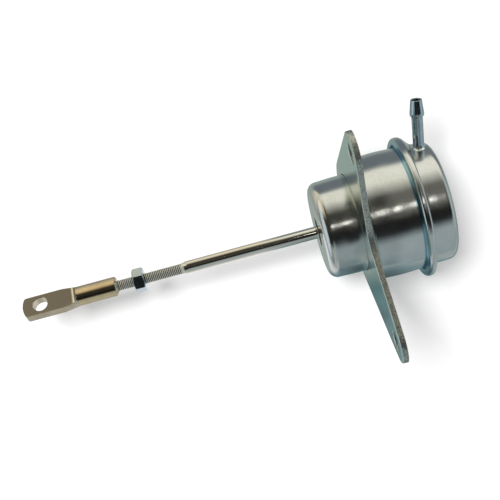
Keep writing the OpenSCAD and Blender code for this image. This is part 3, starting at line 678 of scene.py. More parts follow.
class ACTUATOR_OT_cover(bpy.types.Operator):
    """Build the rear cover, with its crimped ring and the hole for the nipple"""
    bl_idname = "actuator.cover"
    bl_label = "Rear cover"
    bl_options = {"REGISTER", "UNDO"}

    def execute(self, context):
        s = context.scene.actuator_sizes
        front, back = ring_stations(s)[::2]
        t = s.sheet
        edge_r = s.body_r + s.lip_edge
        cover_r = RING_R - s.cover_step
        back_r = cover_r - s.cover_draft
        edge, pole, lip_zone = 0.28 * MM, 0.01 * MM, 1.5 * MM
        profile = rounded([
            (COVER_X, pole, 0),
            (COVER_X, back_r, s.cover_corner),
            (back, cover_r, s.cover_fillet),
            (back, RING_R, s.ring_bend),
            (front, RING_R, s.ring_bend),
            (front, edge_r, edge),
            (front + t, edge_r, edge),
            (front + t, RING_R - t, s.ring_bend - t),
            (back - t, RING_R - t, s.ring_bend - t),
            (back - t, cover_r - t, s.cover_fillet + t),
            (COVER_X - t, back_r - t, s.cover_corner - t),
            (COVER_X - t, pole, 0),
        ], step=0.6 * MM)
        swell(profile, back + s.cover_fillet, COVER_X - s.cover_corner, s.cover_swell)
        sides = 240
        waves = pressed_waves(profile[:, 0], sides, s.unevenness) * np.clip(profile[:, 1:] / cover_r, 0, 1)
        angle = round_angles(sides)
        near_lip = np.clip(1 - (profile[:, 1] - edge_r) / lip_zone, 0, 1)
        near_lip *= profile[:, 0] < front + t + edge
        ripple = s.lip_ripple * (np.sin(9 * angle) + 0.6 * np.sin(23 * angle + 1.0))[None]
        stations = profile[:, :1] + self.spread(s, profile, angle)
        grid = turned(stations, profile[:, 1:] + waves + near_lip[:, None] * ripple, sides)
        cover = mesh_object("rear_cover_shell", *skin(
            grid, (AXIS + [COVER_X, 0, 0], AXIS + [COVER_X - t, 0, 0])))
        origin, axis = nipple_line(s)
        hole_ends = np.array([-4.0, 2.0]) * MM
        hole = turned(hole_ends, np.full(2, s.stem_r + s.weld_fit), 64, origin, axis)
        cut(cover, mesh_object("nipple_hole", *capped(hole)))
        self.paint_crease_shade(s, cover)
        finish_piece(cover, "canister", bpy.data.materials["zinc_satin"], ["rear_cover"])
        return {"FINISHED"}

    @staticmethod
    def paint_crease_shade(s, cover):
        """Writes the crease attribute, the painted shade at the ring's foot: exp(-(d / w) ** 2), where w is the
        crease's width and d is the distance along the axis from a line that lies w behind the ring's spread foot.
        It is 0 deep inside the cover."""
        spots = np.zeros(3 * len(cover.data.vertices), np.float32)
        cover.data.vertices.foreach_get("co", spots)
        spots = spots.reshape(-1, 3) - AXIS
        radius = np.hypot(spots[:, 1], spots[:, 2])
        angle = np.arctan2(-spots[:, 2], -spots[:, 1])
        turn = (angle - SPREAD_ANGLE + np.pi) % (2 * np.pi) - np.pi
        foot = ring_stations(s)[2] + s.foot_spread * np.exp(-(turn / SPREAD_WIDTH) ** 2)
        share = np.exp(-((spots[:, 0] - foot - s.crease_w) / s.crease_w) ** 2)
        share *= radius > RING_R - s.cover_step - s.sheet / 2
        crease = cover.data.attributes.new("crease", "FLOAT", "POINT")
        crease.data.foreach_set("value", share.astype(np.float32))

    @staticmethod
    def spread(s, profile, angle):
        """How far each point moves to the rear where the crimping tool spread the ring's foot. It is
        foot_spread * exp(-((angle - SPREAD_ANGLE) / SPREAD_WIDTH) ** 2), times the share of the ring's
        height that lies above the point, times a share that falls to 0 at the rear corner."""
        front, back = ring_stations(s)[::2]
        x, r = profile[:, 0], profile[:, 1]
        last = COVER_X - s.cover_corner
        below_crest = np.clip((RING_R - r) / s.cover_step, 0, 1)
        behind_lip = np.clip((x - front - s.sheet) / (back - front - 2 * s.sheet), 0, 1)
        before_corner = np.clip((last - x) / (last - back), 0, 1)
        around = np.exp(-((angle - SPREAD_ANGLE) / SPREAD_WIDTH) ** 2)
        return s.foot_spread * (below_crest * behind_lip * before_corner)[:, None] * around[None]


def nipple_line(s):
    """The nipple's foot on the cover's wall, and its direction, from the barb's mount."""
    axis = unit(np.array(MOUNTS["hose_barb"]["axis"]))
    barb = np.array(MOUNTS["hose_barb"]["pos_m"])
    return barb - axis * (s.nipple_l - s.barb_l - s.barb_band / 2), axis


class ACTUATOR_OT_bracket(bpy.types.Operator):
    """Build the bracket plate, with its two arms and its sheared edge"""
    bl_idname = "actuator.bracket"
    bl_label = "Bracket"
    bl_options = {"REGISTER", "UNDO"}

    def execute(self, context):
        s, finish = context.scene.actuator_sizes, context.scene.actuator_finish
        drop = -AXIS[2]
        hub = s.body_r + s.hub_margin
        circles = np.array([
            [s.bolt_half - AXIS[1], drop, s.short_ear_r],
            [s.dip_y, hub + s.dip_rise + s.dip_r, -s.dip_r],
            [-s.bolt_half - AXIS[1], drop, s.long_ear_r],
            [0.0, 0.0, hub],
        ])
        outline = self.belt(circles, 0.25 * MM)
        outward = unit(np.stack([np.gradient(outline[:, 1]), -np.gradient(outline[:, 0])], axis=1))
        spoke = unit(outline)
        around = np.arctan2(outline[:, 1], outline[:, 0])
        wander = s.hole_wander * (0.6 * np.sin(3 * around + 0.5) + 0.4 * np.sin(8 * around + 2.0))
        hole = spoke * (s.nose_r + s.plate_clearance + wander)[:, None]
        thick = PLATE_BACK
        rolled = s.roll_over
        burr = s.burr_round
        rows = []
        for a in np.radians([0, 30, 60]):
            rows.append((s.hole_round * (1 - np.sin(a)), hole + spoke * s.hole_round * (1 - np.cos(a))))
        rolled_start = outline - outward * rolled
        for share in np.linspace(0, 1, 7):
            rows.append((0.0, (hole + spoke * s.hole_round) * (1 - share) + rolled_start * share))
        for a in np.radians([22, 45, 68]):
            rows.append((rolled * (1 - np.cos(a)), outline - outward * rolled * (1 - np.sin(a))))
        travel = np.cumsum(np.linalg.norm(np.diff(outline, axis=0, prepend=outline[-1:]), axis=1))
        for share in np.linspace(0, 1, 9):
            tear = self.torn(travel, share, travel[-1]) * s.fracture * np.clip((share - 0.25) * 4, 0, 1)
            rows.append((rolled + share * (thick - rolled - burr), outline - outward * tear[:, None]))
        rows.append((thick - burr * 0.3, outline - outward * burr * 0.3))
        for share in np.linspace(0, 1, 7):
            rows.append((thick, (outline - outward * burr) * (1 - share) + hole * share))
        grid = np.stack([
            np.column_stack([np.full(len(flat), x), flat + AXIS[1:]]) for x, flat in rows])
        plate = mesh_object("bracket_plate", *skin(grid, ring=True))
        for y in (s.bolt_half, -s.bolt_half):
            cut(plate, self.drill(s, np.array([0.0, y, 0.0])))
        finish_piece(plate, "canister", zinc_plate(finish), ["mounting_bracket"], 30)
        coat(frame["nodes"]["bracket_welds"], dull_metal("weld_metal", finish.weld, 0.45))
        return {"FINISHED"}

    @staticmethod
    def torn(travel, share, whole):
        """Torn grain along the edge: waves whose lengths divide the outline, shifted across the thickness."""
        turn = 2 * np.pi * travel / whole
        return (
            0.5 * np.sin(211 * turn + 9 * share) + 0.4 * np.sin(347 * turn - 13 * share + 1.3)
            + 0.35 * np.sin(97 * turn + 5 * share + 0.4) + 0.3 * np.sin(463 * turn + 21 * share))

    @staticmethod
    def belt(circles, step):
        """The outline of a belt round circles of [y, z, radius]. A line that leaves circle A and meets
        circle B has the direction of B - A turned by asin((rA - rB) / distance), and a negative radius
        bends it the other way. Arcs and lines are divided by step."""
        following = np.roll(circles, -1, axis=0)
        gap = following[:, :2] - circles[:, :2]
        leave = np.arctan2(gap[:, 1], gap[:, 0]) + np.arcsin(
            (circles[:, 2] - following[:, 2]) / np.linalg.norm(gap, axis=1))
        arrive = np.roll(leave, 1)
        turn = (leave - arrive) % (2 * np.pi)
        turn = np.where(circles[:, 2] > 0, turn, turn - 2 * np.pi)
        line = []
        for (y, z, r), start, sweep in zip(circles, arrive, turn):
            t = start - np.pi / 2 + np.linspace(0, sweep, int(abs(r * sweep) / step) + 2)
            line.append(np.stack([y + r * np.cos(t), z + r * np.sin(t)], axis=1))
        line = np.concatenate(line + [line[0][:1]])
        travel = np.concatenate([[0], np.cumsum(np.linalg.norm(np.diff(line, axis=0), axis=1))])
        even = np.linspace(0, travel[-1], int(travel[-1] / step), endpoint=False)
        return np.stack([np.interp(even, travel, line[:, 0]), np.interp(even, travel, line[:, 1])], axis=1)

    @staticmethod
    def drill(s, centre):
        """A cutter for a bolt hole that widens at both faces by a small radius, and stands out of them."""
        flare, stand = 0.25 * MM, 1.0 * MM
        a = np.radians(np.linspace(0, 90, 5))
        x = np.concatenate([[-stand, 0], flare * np.sin(a[1:]), PLATE_BACK - flare * np.sin(a[::-1][:-1]),
                            [PLATE_BACK, PLATE_BACK + stand]])
        wide = flare * (1 - np.sin(a[1:]))
        r = s.bolt_hole_r + np.concatenate([[flare, flare], wide, wide[::-1], [flare, flare]])
        return mesh_object("bolt_drill", *capped(turned(x, r, 96, centre)))


class ACTUATOR_OT_nipple(bpy.types.Operator):
    """Build the hose nipple with its barb, and the braze at its foot"""
    bl_idname = "actuator.nipple"
    bl_label = "Hose nipple"
    bl_options = {"REGISTER", "UNDO"}

    def execute(self, context):
        s, finish = context.scene.actuator_sizes, context.scene.actuator_finish
        origin, axis = nipple_line(s)
        foot = -s.sheet - s.nipple_inside
        barb_x = s.nipple_l - s.barb_l - s.barb_band
        edge, chamfer = 0.1 * MM, 0.25 * MM
        profile = rounded([
            (foot, s.nipple_bore_r, edge),
            (foot, s.stem_r, edge),
            (barb_x - s.barb_back, s.stem_r, 0.5 * MM),
            (barb_x, s.barb_r, 0.35 * MM),
            (barb_x + s.barb_band, s.barb_r, 0.8 * MM),
            (s.nipple_l, s.tip_r, chamfer),
            (s.nipple_l, s.nipple_bore_r, chamfer),
        ], closed=True, step=0.4 * MM)
        grid = turned(profile[:, 0], profile[:, 1], 96, origin, axis)
        nipple = mesh_object("hose_nipple_tube", *skin(grid, ring=True))
        finish_piece(nipple, "canister",
                     plated("nipple_plating", finish.nipple_blue, 0.10, 0.25 * MM, 0.06), ["hose_nipple"])
        self.braze(s, finish, origin, axis)
        return {"FINISHED"}

    def braze(self, s, finish, origin, axis):
        """A concave fillet of braze. At the distance d from the stem its height above the cover is
        slump * w * (1 - sqrt(1 - (1 - d / w) ** 2)) + lift, with w waved round the stem. It reaches a
        little into the stem and into the cover."""
        sides, steps = 128, 14
        slump, lift, into_stem, into_cover = 0.85, 0.04 * MM, 0.02 * MM, 0.25 * MM
        first, second = cross_axes(axis)
        angle = round_angles(sides)
        spoke = np.cos(angle)[:, None] * first + np.sin(angle)[:, None] * second
        width = s.braze_w * (
            0.92 + 0.06 * np.sin(3 * angle + 0.5) + 0.05 * np.sin(5 * angle) + 0.03 * np.sin(13 * angle))
        share = np.linspace(0, 1, steps) ** 1.3
        out = s.stem_r - into_stem + share[:, None] * width
        high = width * (1 - np.sqrt(np.clip(1 - (1 - share[:, None]) ** 2, 0, 1))) * slump + lift
        top = self.on_cover(s, origin, axis, out[..., None] * spoke, high)
        below = self.on_cover(s, origin, axis, out[::-1, :, None] * spoke, np.full_like(out, -into_cover))
        ring = mesh_object("nipple_braze_ring", *skin(np.concatenate([top, below]), ring=True))
        finish_piece(ring, "canister", braze_metal(finish), ["nipple_braze"])

    @staticmethod
    def on_cover(s, origin, axis, aside, high):
        """Points at a height above the cover's wall. A point is pushed along the nipple until its distance
        from the axis is the wall's radius at its station."""
        back = ring_stations(s)[2]
        spot = origin + aside
        for _ in range(6):
            now = np.linalg.norm(spot[..., 1:] - AXIS[1:], axis=-1)
            wall = RING_R - s.cover_step - s.cover_draft * np.clip((spot[..., 0] - back) / s.cover_l, 0, 1)
            spot = spot + (wall - now)[..., None] * axis
        return spot + high[..., None] * axis


def helix_depth(stations, sides, pitch, rise=0.56):
    """Share of the thread's depth, 0 on a crest and 1 in a groove. It is 0.5 - rise * cos(2 pi phase), where
    the phase is station / pitch - angle / full turn. A rise over 0.5 leaves crests and grooves flat."""
    phase = stations[:, None] / pitch - np.linspace(0, 1, sides, endpoint=False)[None]
    return np.clip(0.5 - rise * np.cos(2 * np.pi * phase), 0, 1)


class ACTUATOR_OT_rod(bpy.types.Operator):
    """Build the rod, with its rolled thread and its riveted end"""
    bl_idname = "actuator.rod"
    bl_label = "Rod"
    bl_options = {"REGISTER", "UNDO"}

    def execute(self, context):
        s, finish = context.scene.actuator_sizes, context.scene.actuator_finish
        low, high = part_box("actuator_rod")
        collar_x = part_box("rod_collar")[0].x
        rivet_x = high.x - s.rivet_h
        thread_x = np.arange(low.x, -s.thread_reach, s.thread_pitch / 12)
        edge, pole, tip_cone, thread_fade = 0.05 * MM, 0.3 * MM, 0.5 * MM, 1.5 * MM
        plain = rounded([
            (-s.thread_reach, s.thread_r, 0.3 * MM),
            (-s.thread_reach + s.rod_cone, s.rod_r, 0.8 * MM),
            (collar_x, s.rod_r, edge),
            (collar_x, s.tail_r, edge),
            (rivet_x, s.tail_r, edge),
            (rivet_x, s.rivet_r, edge),
            (high.x, s.rivet_r, s.rivet_h * 0.9),
            (high.x, pole, 0),
        ], step=1.5 * MM)
        sides = 48
        x = np.concatenate([thread_x, plain[:, 0]])
        r = np.concatenate([np.full(len(thread_x), s.thread_r), plain[:, 1]])
        r = r - (1 - np.clip((x - low.x) / tip_cone, 0, 1)) * tip_cone
        fade = np.clip((x - low.x) / MM, 0, 1) * np.clip((-s.thread_reach - x) / thread_fade, 0, 1)
        radii = r[:, None] - s.thread_depth * fade[:, None] * helix_depth(x, sides, s.thread_pitch)
        grid = turned(x, radii, sides)
        rod = mesh_object("rod_with_thread", *skin(grid, (AXIS + [low.x, 0, 0], AXIS + [high.x, 0, 0])))
        finish_piece(rod, "rod", rod_plating(finish, s), ["actuator_rod"], 50)
        return {"FINISHED"}


class ACTUATOR_OT_nut(bpy.types.Operator):
    """Build the jam nut, with its chamfered corners and its thread"""
    bl_idname = "actuator.nut"
    bl_label = "Jam nut"
    bl_options = {"REGISTER", "UNDO"}

    def execute(self, context):
        s, finish = context.scene.actuator_sizes, context.scene.actuator_finish
        low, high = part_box("jam_nut")
        sides = 240
        half = s.nut_flats / 2
        hexagon = half / np.cos(round_angles(sides) % (np.pi / 3) - np.pi / 6)
        bore = s.thread_r + s.thread_play
        countersink, start, thread_mark = 0.35 * MM, 0.3 * MM, 0.04 * MM
        corner = half / np.cos(np.pi / 6)
        face_r = 0.97 * half
        slope = np.tan(np.radians(30))
        side = low.x + (high.x - low.x) * (0.5 - 0.5 * np.cos(np.linspace(0, np.pi, 34)))
        cone = face_r + np.minimum(side - low.x, high.x - side)[:, None] / slope
        soft = s.nut_round
        rim = -soft * np.logaddexp(-hexagon[None] / soft, -np.minimum(cone, corner * 1.2) / soft)
        rim = np.minimum(rim, np.minimum(hexagon[None], cone))
        across = np.linspace(0, 1, 5)[1:-1, None]
        mouth = bore + countersink
        front = mouth + (rim[0] - mouth) * across
        back = rim[-1] + (mouth - rim[-1]) * across
        inside_x = np.arange(high.x - start, low.x + start, -s.thread_pitch / 8)
        inside = bore - thread_mark * (1 - helix_depth(inside_x, sides, s.thread_pitch))
        x = np.concatenate([[low.x], np.full(3, low.x), side, np.full(3, high.x), [high.x], inside_x])
        r = np.vstack([np.full((1, sides), mouth), front, rim, back, np.full((1, sides), mouth), inside])
        nut = mesh_object("jam_nut_body", *skin(turned(x, r, sides), ring=True))
        plating = plated("nut_plating", finish.nut_zinc, 0.12, 0.3 * MM, 0.1)
        finish_piece(nut, "nut", plating, ["jam_nut"], 32)
        return {"FINISHED"}


class ACTUATOR_OT_rod_end(bpy.types.Operator):
    """Build the rod end, with its flattened tongue and its eye"""
    bl_idname = "actuator.rod_end"
    bl_label = "Rod end"
    bl_options = {"REGISTER", "UNDO"}

    def execute(self, context):
        s, finish = context.scene.actuator_sizes, context.scene.actuator_finish
        low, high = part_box("rod_end")
        flat_x = EYE_X + s.tongue_back
        end_x = flat_x + s.runout
        x = np.unique(np.concatenate([
            low.x + s.tip_round * (1 - np.cos(np.linspace(0, 0.42, 24))),
            np.linspace(low.x + MM, flat_x, 46),
            flat_x + s.runout * np.sin(np.linspace(0, np.pi / 2, 30)),
            np.linspace(end_x, end_x + 0.6 * MM, 4),
            np.linspace(end_x, high.x - s.shank_chamfer, 26),
            high.x - s.shank_chamfer * np.linspace(1, 0, 6)]))
        wide = self.half_width(s, x - low.x)
        rise = np.clip(x - flat_x, 0, s.runout)
        thick = s.tongue_thin + s.runout - np.sqrt(s.runout ** 2 - rise ** 2)
        beyond = 3 * s.shank_r
        last_step = 0.05 * MM
        thick = thick + np.clip((x - end_x + last_step) / last_step, 0, 1) * beyond
        thick = np.where(x >= end_x, beyond, thick)
        corner_r = np.hypot(s.tongue_half, s.tongue_thin)
        round_r = np.interp(x, [end_x - s.neck_l, end_x, high.x - s.shank_chamfer, high.x],
                            [corner_r, s.shank_r, s.shank_r, s.shank_r - s.shank_chamfer])
        wide = np.where(x > end_x, beyond, wide)
        grid = self.loops(s, wide, thick, round_r, self.section(160))
        bore = s.thread_r + s.thread_play
        countersink, drill_cone = 0.3 * MM, 1.2 * MM
        spoke = unit(grid[-1])
        inner_x = np.array([high.x, high.x - countersink, high.x - s.tapped_l])
        inner_r = np.array([bore + countersink, bore, bore])
        inner = inner_r[:, None, None] * spoke
        across, over = self.tongue_axes()
        flat = np.concatenate([grid, inner])
        stations = np.concatenate([x, inner_x])
        solid = AXIS + stations[:, None, None] * ALONG + flat[..., :1] * across + flat[..., 1:] * over
        drill_point = AXIS + [high.x - s.tapped_l - drill_cone, 0, 0]
        tip = AXIS + [low.x, 0, 0]
        end = mesh_object("rod_end_eye", *skin(solid, (tip, drill_point)))
        cut(end, self.eye_cutter(s, over))
        finish_piece(end, "eye", rod_end_nickel(finish, s), ["rod_end"], 35)
        return {"FINISHED"}

    @staticmethod
    def tongue_axes():
        """Unit vectors along the tongue's width and along its eye."""
        return np.cross(EYE_AXIS, ALONG), EYE_AXIS

    @staticmethod
    def half_width(s, depth):
        """Half the tongue's width at a depth behind its tip: the round tip, a corner circle, then flat."""
        lean = np.arcsin((s.tongue_half - s.tip_corner) / (s.tip_round - s.tip_corner))
        centre = s.tip_round - (s.tip_round - s.tip_corner) * np.cos(lean)
        touch = s.tip_round * (1 - np.cos(lean))
        big = np.sqrt(np.clip(s.tip_round ** 2 - (s.tip_round - depth) ** 2, 0, None))
        small = np.sqrt(np.clip(s.tip_corner ** 2 - (depth - centre) ** 2, 0, None))
        small = np.where(depth < centre, s.tongue_half - s.tip_corner + small, s.tongue_half)
        narrowest = 0.02 * MM
        return np.maximum(np.where(depth < touch, big, small), narrowest)

    @staticmethod
    def section(count):
        """Points round a unit square, denser near its corners, as share of half width and half thickness."""
        side = np.linspace(0, 1, count // 4, endpoint=False)
        t = 0.5 - 0.5 * np.cos(np.pi * side)
        one, up = np.ones_like(t), 2 * t - 1
        return np.concatenate([
            np.stack(pair, axis=1) for pair in ((one, up), (-up, one), (-one, -up), (up, -one))])

    @staticmethod
    def loops(s, wide, thick, round_r, section):
        """Cross-sections of a bar that is both a rectangle and a disc. A point p of the rectangle's outline
        is drawn in to the disc by min(1, R / |p|), and rounding makes that minimum soft. The rectangle's
        own corners are rounded by the length of an inner corner circle."""
        size = np.stack([wide, thick], axis=1)[:, None]
        soft = np.minimum(s.edge_round, 0.45 * size.min(axis=-1, keepdims=True))
        inner = np.clip(section * size, -(size - soft), size - soft)
        rect = inner + soft * unit(section * size - inner + 1e-12 * section)
        reach = np.linalg.norm(rect, axis=-1, keepdims=True)
        limit = round_r[:, None, None]
        blend = 0.05 * MM
        soft_min = -blend * np.logaddexp(-reach / blend, -limit / blend)
        return rect / reach * np.minimum(soft_min, np.minimum(reach, limit))

    @staticmethod
    def eye_cutter(s, over):
        """A cutter for the eye that widens at both faces by a small radius."""
        half = s.tongue_thin
        flare, stand = 0.15 * MM, 1.0 * MM
        a = np.radians(np.linspace(0, 90, 6))
        x = np.concatenate([[half + stand, half], half - flare * np.sin(a[1:])])
        r = s.eye_r + np.concatenate([[flare, flare], flare * (1 - np.sin(a[1:]))])
        x, r = np.concatenate([x, -x[::-1]]), np.concatenate([r, r[::-1]])
        return mesh_object("eye_cutter", *capped(turned(x, r, 96, AXIS + [EYE_X, 0, 0], over)))


class ACTUATOR_OT_inner_parts(bpy.types.Operator):
    """Build the return spring, and finish the parts that the canister holds inside"""
    bl_idname = "actuator.inner_parts"
    bl_label = "Inner parts"
    bl_options = {"REGISTER", "UNDO"}

    def execute(self, context):
        s, finish = context.scene.actuator_sizes, context.scene.actuator_finish
        steel = dull_metal("inner_steel_finish", finish.inner_steel, 0.3)
        rubber = moulded("rubber_finish", finish.rubber, 0.55)
        looks = {
            "diaphragm": moulded("diaphragm_finish", finish.rubber, 0.6, weave=True),
            "rest_bumper": rubber, "dust_seal": rubber,
            "spring_pad": moulded("nylon_finish", finish.nylon, 0.4),
            "guide_bushing": dull_metal("bronze_finish", finish.bronze, 0.4)}
        for name in ("diaphragm", "diaphragm_retainer", "piston_cup", "rivet_washer", "rest_bumper",
                     "rod_collar", "spring_pad", "spring_seat", "guide_bushing", "seal_washer", "dust_seal"):
            coat(frame["nodes"][name], looks.get(name, steel))
        self.spring(s, finish)
        return {"FINISHED"}

    @staticmethod
    def spring(s, finish):
        """A coil of round wire: its centre turns about the axis while its station goes up with the turn,
        slowly over the first and last turns, which are closed."""
        low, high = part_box("return_spring")
        turns, sides, per_turn = 8, 14, 48
        coil_r = (high.z - low.z) / 2 - s.wire_r
        closed = 2.06 * s.wire_r  # rise of a closed end turn
        room = high.x - low.x - 2 * s.wire_r - 2 * closed
        turn = np.linspace(0, turns, turns * per_turn + 1)
        x = low.x + s.wire_r + closed * (np.minimum(turn, 1) + np.maximum(turn - turns + 1, 0))
        x += room / (turns - 2) * np.clip(turn - 1, 0, turns - 2)
        around = round_angles(sides)[None]
        radius = coil_r + s.wire_r * np.cos(around)
        spin = 2 * np.pi * turn[:, None]
        grid = AXIS + np.stack([
            x[:, None] + s.wire_r * np.sin(around), radius * np.cos(spin), radius * np.sin(spin)], axis=-1)
        coil = mesh_object("return_spring_coil", *capped(grid))
        steel = dull_metal("spring_finish", finish.spring_steel, 0.25)
        finish_piece(coil, "canister", steel, ["return_spring"])


# The camera. In its picture of 500 by 500 pixels, the focal length is 900 pixels
TOWARDS_CAMERA = np.array([0.0, 0.180, 0.9837])
PICTURE_DOWN = np.array([0.0, -0.9837, 0.180])
CAMERA_DISTANCE = 396 * MM
CAMERA_X = -47.37 * MM
CAMERA_DOWN = -0.14 * MM
CAMERA_ROLL = np.radians(15.1)
CAMERA_LENS = 64.8
CAMERA_SENSOR = 36.0

# The room, the floor and the lamp
ROOM_ON_THINGS = 0.42
FLOOR_HALF = 3.0
FLOOR_PAPER = 0.92
FLOOR_GLOW = 0.16
MAT_LIFT = 0.5 * MM
LAMP_DISTANCE = 1.6
LAMP_LEFT = 0.33
LAMP_UP = 0.09
LAMP_SIZE = 0.5
LAMP_POWER = 18.4

# The tunnel of cards round the object, and where its cards lie in degrees from the camera's direction
# towards the picture's lower side
TUNNEL_R = 0.62
TUNNEL_HALF = 0.75
TUNNEL_EDGE = 104
SOFTBOX_START = -82
SOFTBOX_END = -58
SOFTBOX_FADE = 28
DIM_END = 2
SHADE_START = 18
SHADE_END = 38
WALL_FADE = 16
WALL_END = 78
LEFT_END_SHINE = 1.5

# The discs that give the walls their highlights: name, distance along X, half length and strength
CATCH_LIGHTS = (("nose", 0.024, 0.014, 4.0), ("body", 0.116, 0.024, 3.4))
CATCH_DISTANCE = 0.5
CATCH_UP = 0.028
CATCH_HALF = 0.034
CATCH_SIDES = 32

# Colours of the studio
WHITE = (1.0, 1.0, 1.0)
BLACK = (0.0, 0.0, 0.0)
UNLIT = (0.015, 0.015, 0.015)
CORNER = (0.2, 0.22, 0.24)
WARM_WHITE = (1.1, 1.08, 0.93)
CREAM = (1.0, 0.93, 0.73)
LAMP_CREAM = (1.0, 0.97, 0.88, 1.0)
AMBER = (0.92, 0.74, 0.47)
GREY_WALL = (0.42, 0.49, 0.5)
TEAL = (0.28, 0.4, 0.43)
DARK_TEAL = (0.1, 0.19, 0.2)
SLATE = (0.19, 0.22, 0.24)
FLOOR_GREY = (0.37, 0.43, 0.4)
OPEN_GREY = (0.45, 0.50, 0.49)
ROD_SHADE = (0.44, 0.43, 0.39)
OLIVE = (0.56, 0.55, 0.44)
END_BLUE = (0.46, 0.54, 0.58)
END_GREY = (0.56, 0.60, 0.60)


def picture_axes():
    """Unit vectors to the picture's right and down, for the camera's roll about its own line of sight."""
    right = np.cos(CAMERA_ROLL) * ALONG + np.sin(CAMERA_ROLL) * PICTURE_DOWN
    down = -np.sin(CAMERA_ROLL) * ALONG + np.cos(CAMERA_ROLL) * PICTURE_DOWN
    return right, down


def put_in_scene(name, data, x_axis, y_axis, z_axis, place):
    """Links an object whose own axes point along three unit vectors, at a place."""
    thing = bpy.data.objects.new(name, data)
    rows = np.stack([x_axis, y_axis, z_axis, place], axis=1)
    thing.matrix_world = Matrix([*rows.tolist(), [0, 0, 0, 1]])
    bpy.context.scene.collection.objects.link(thing)
    return thing


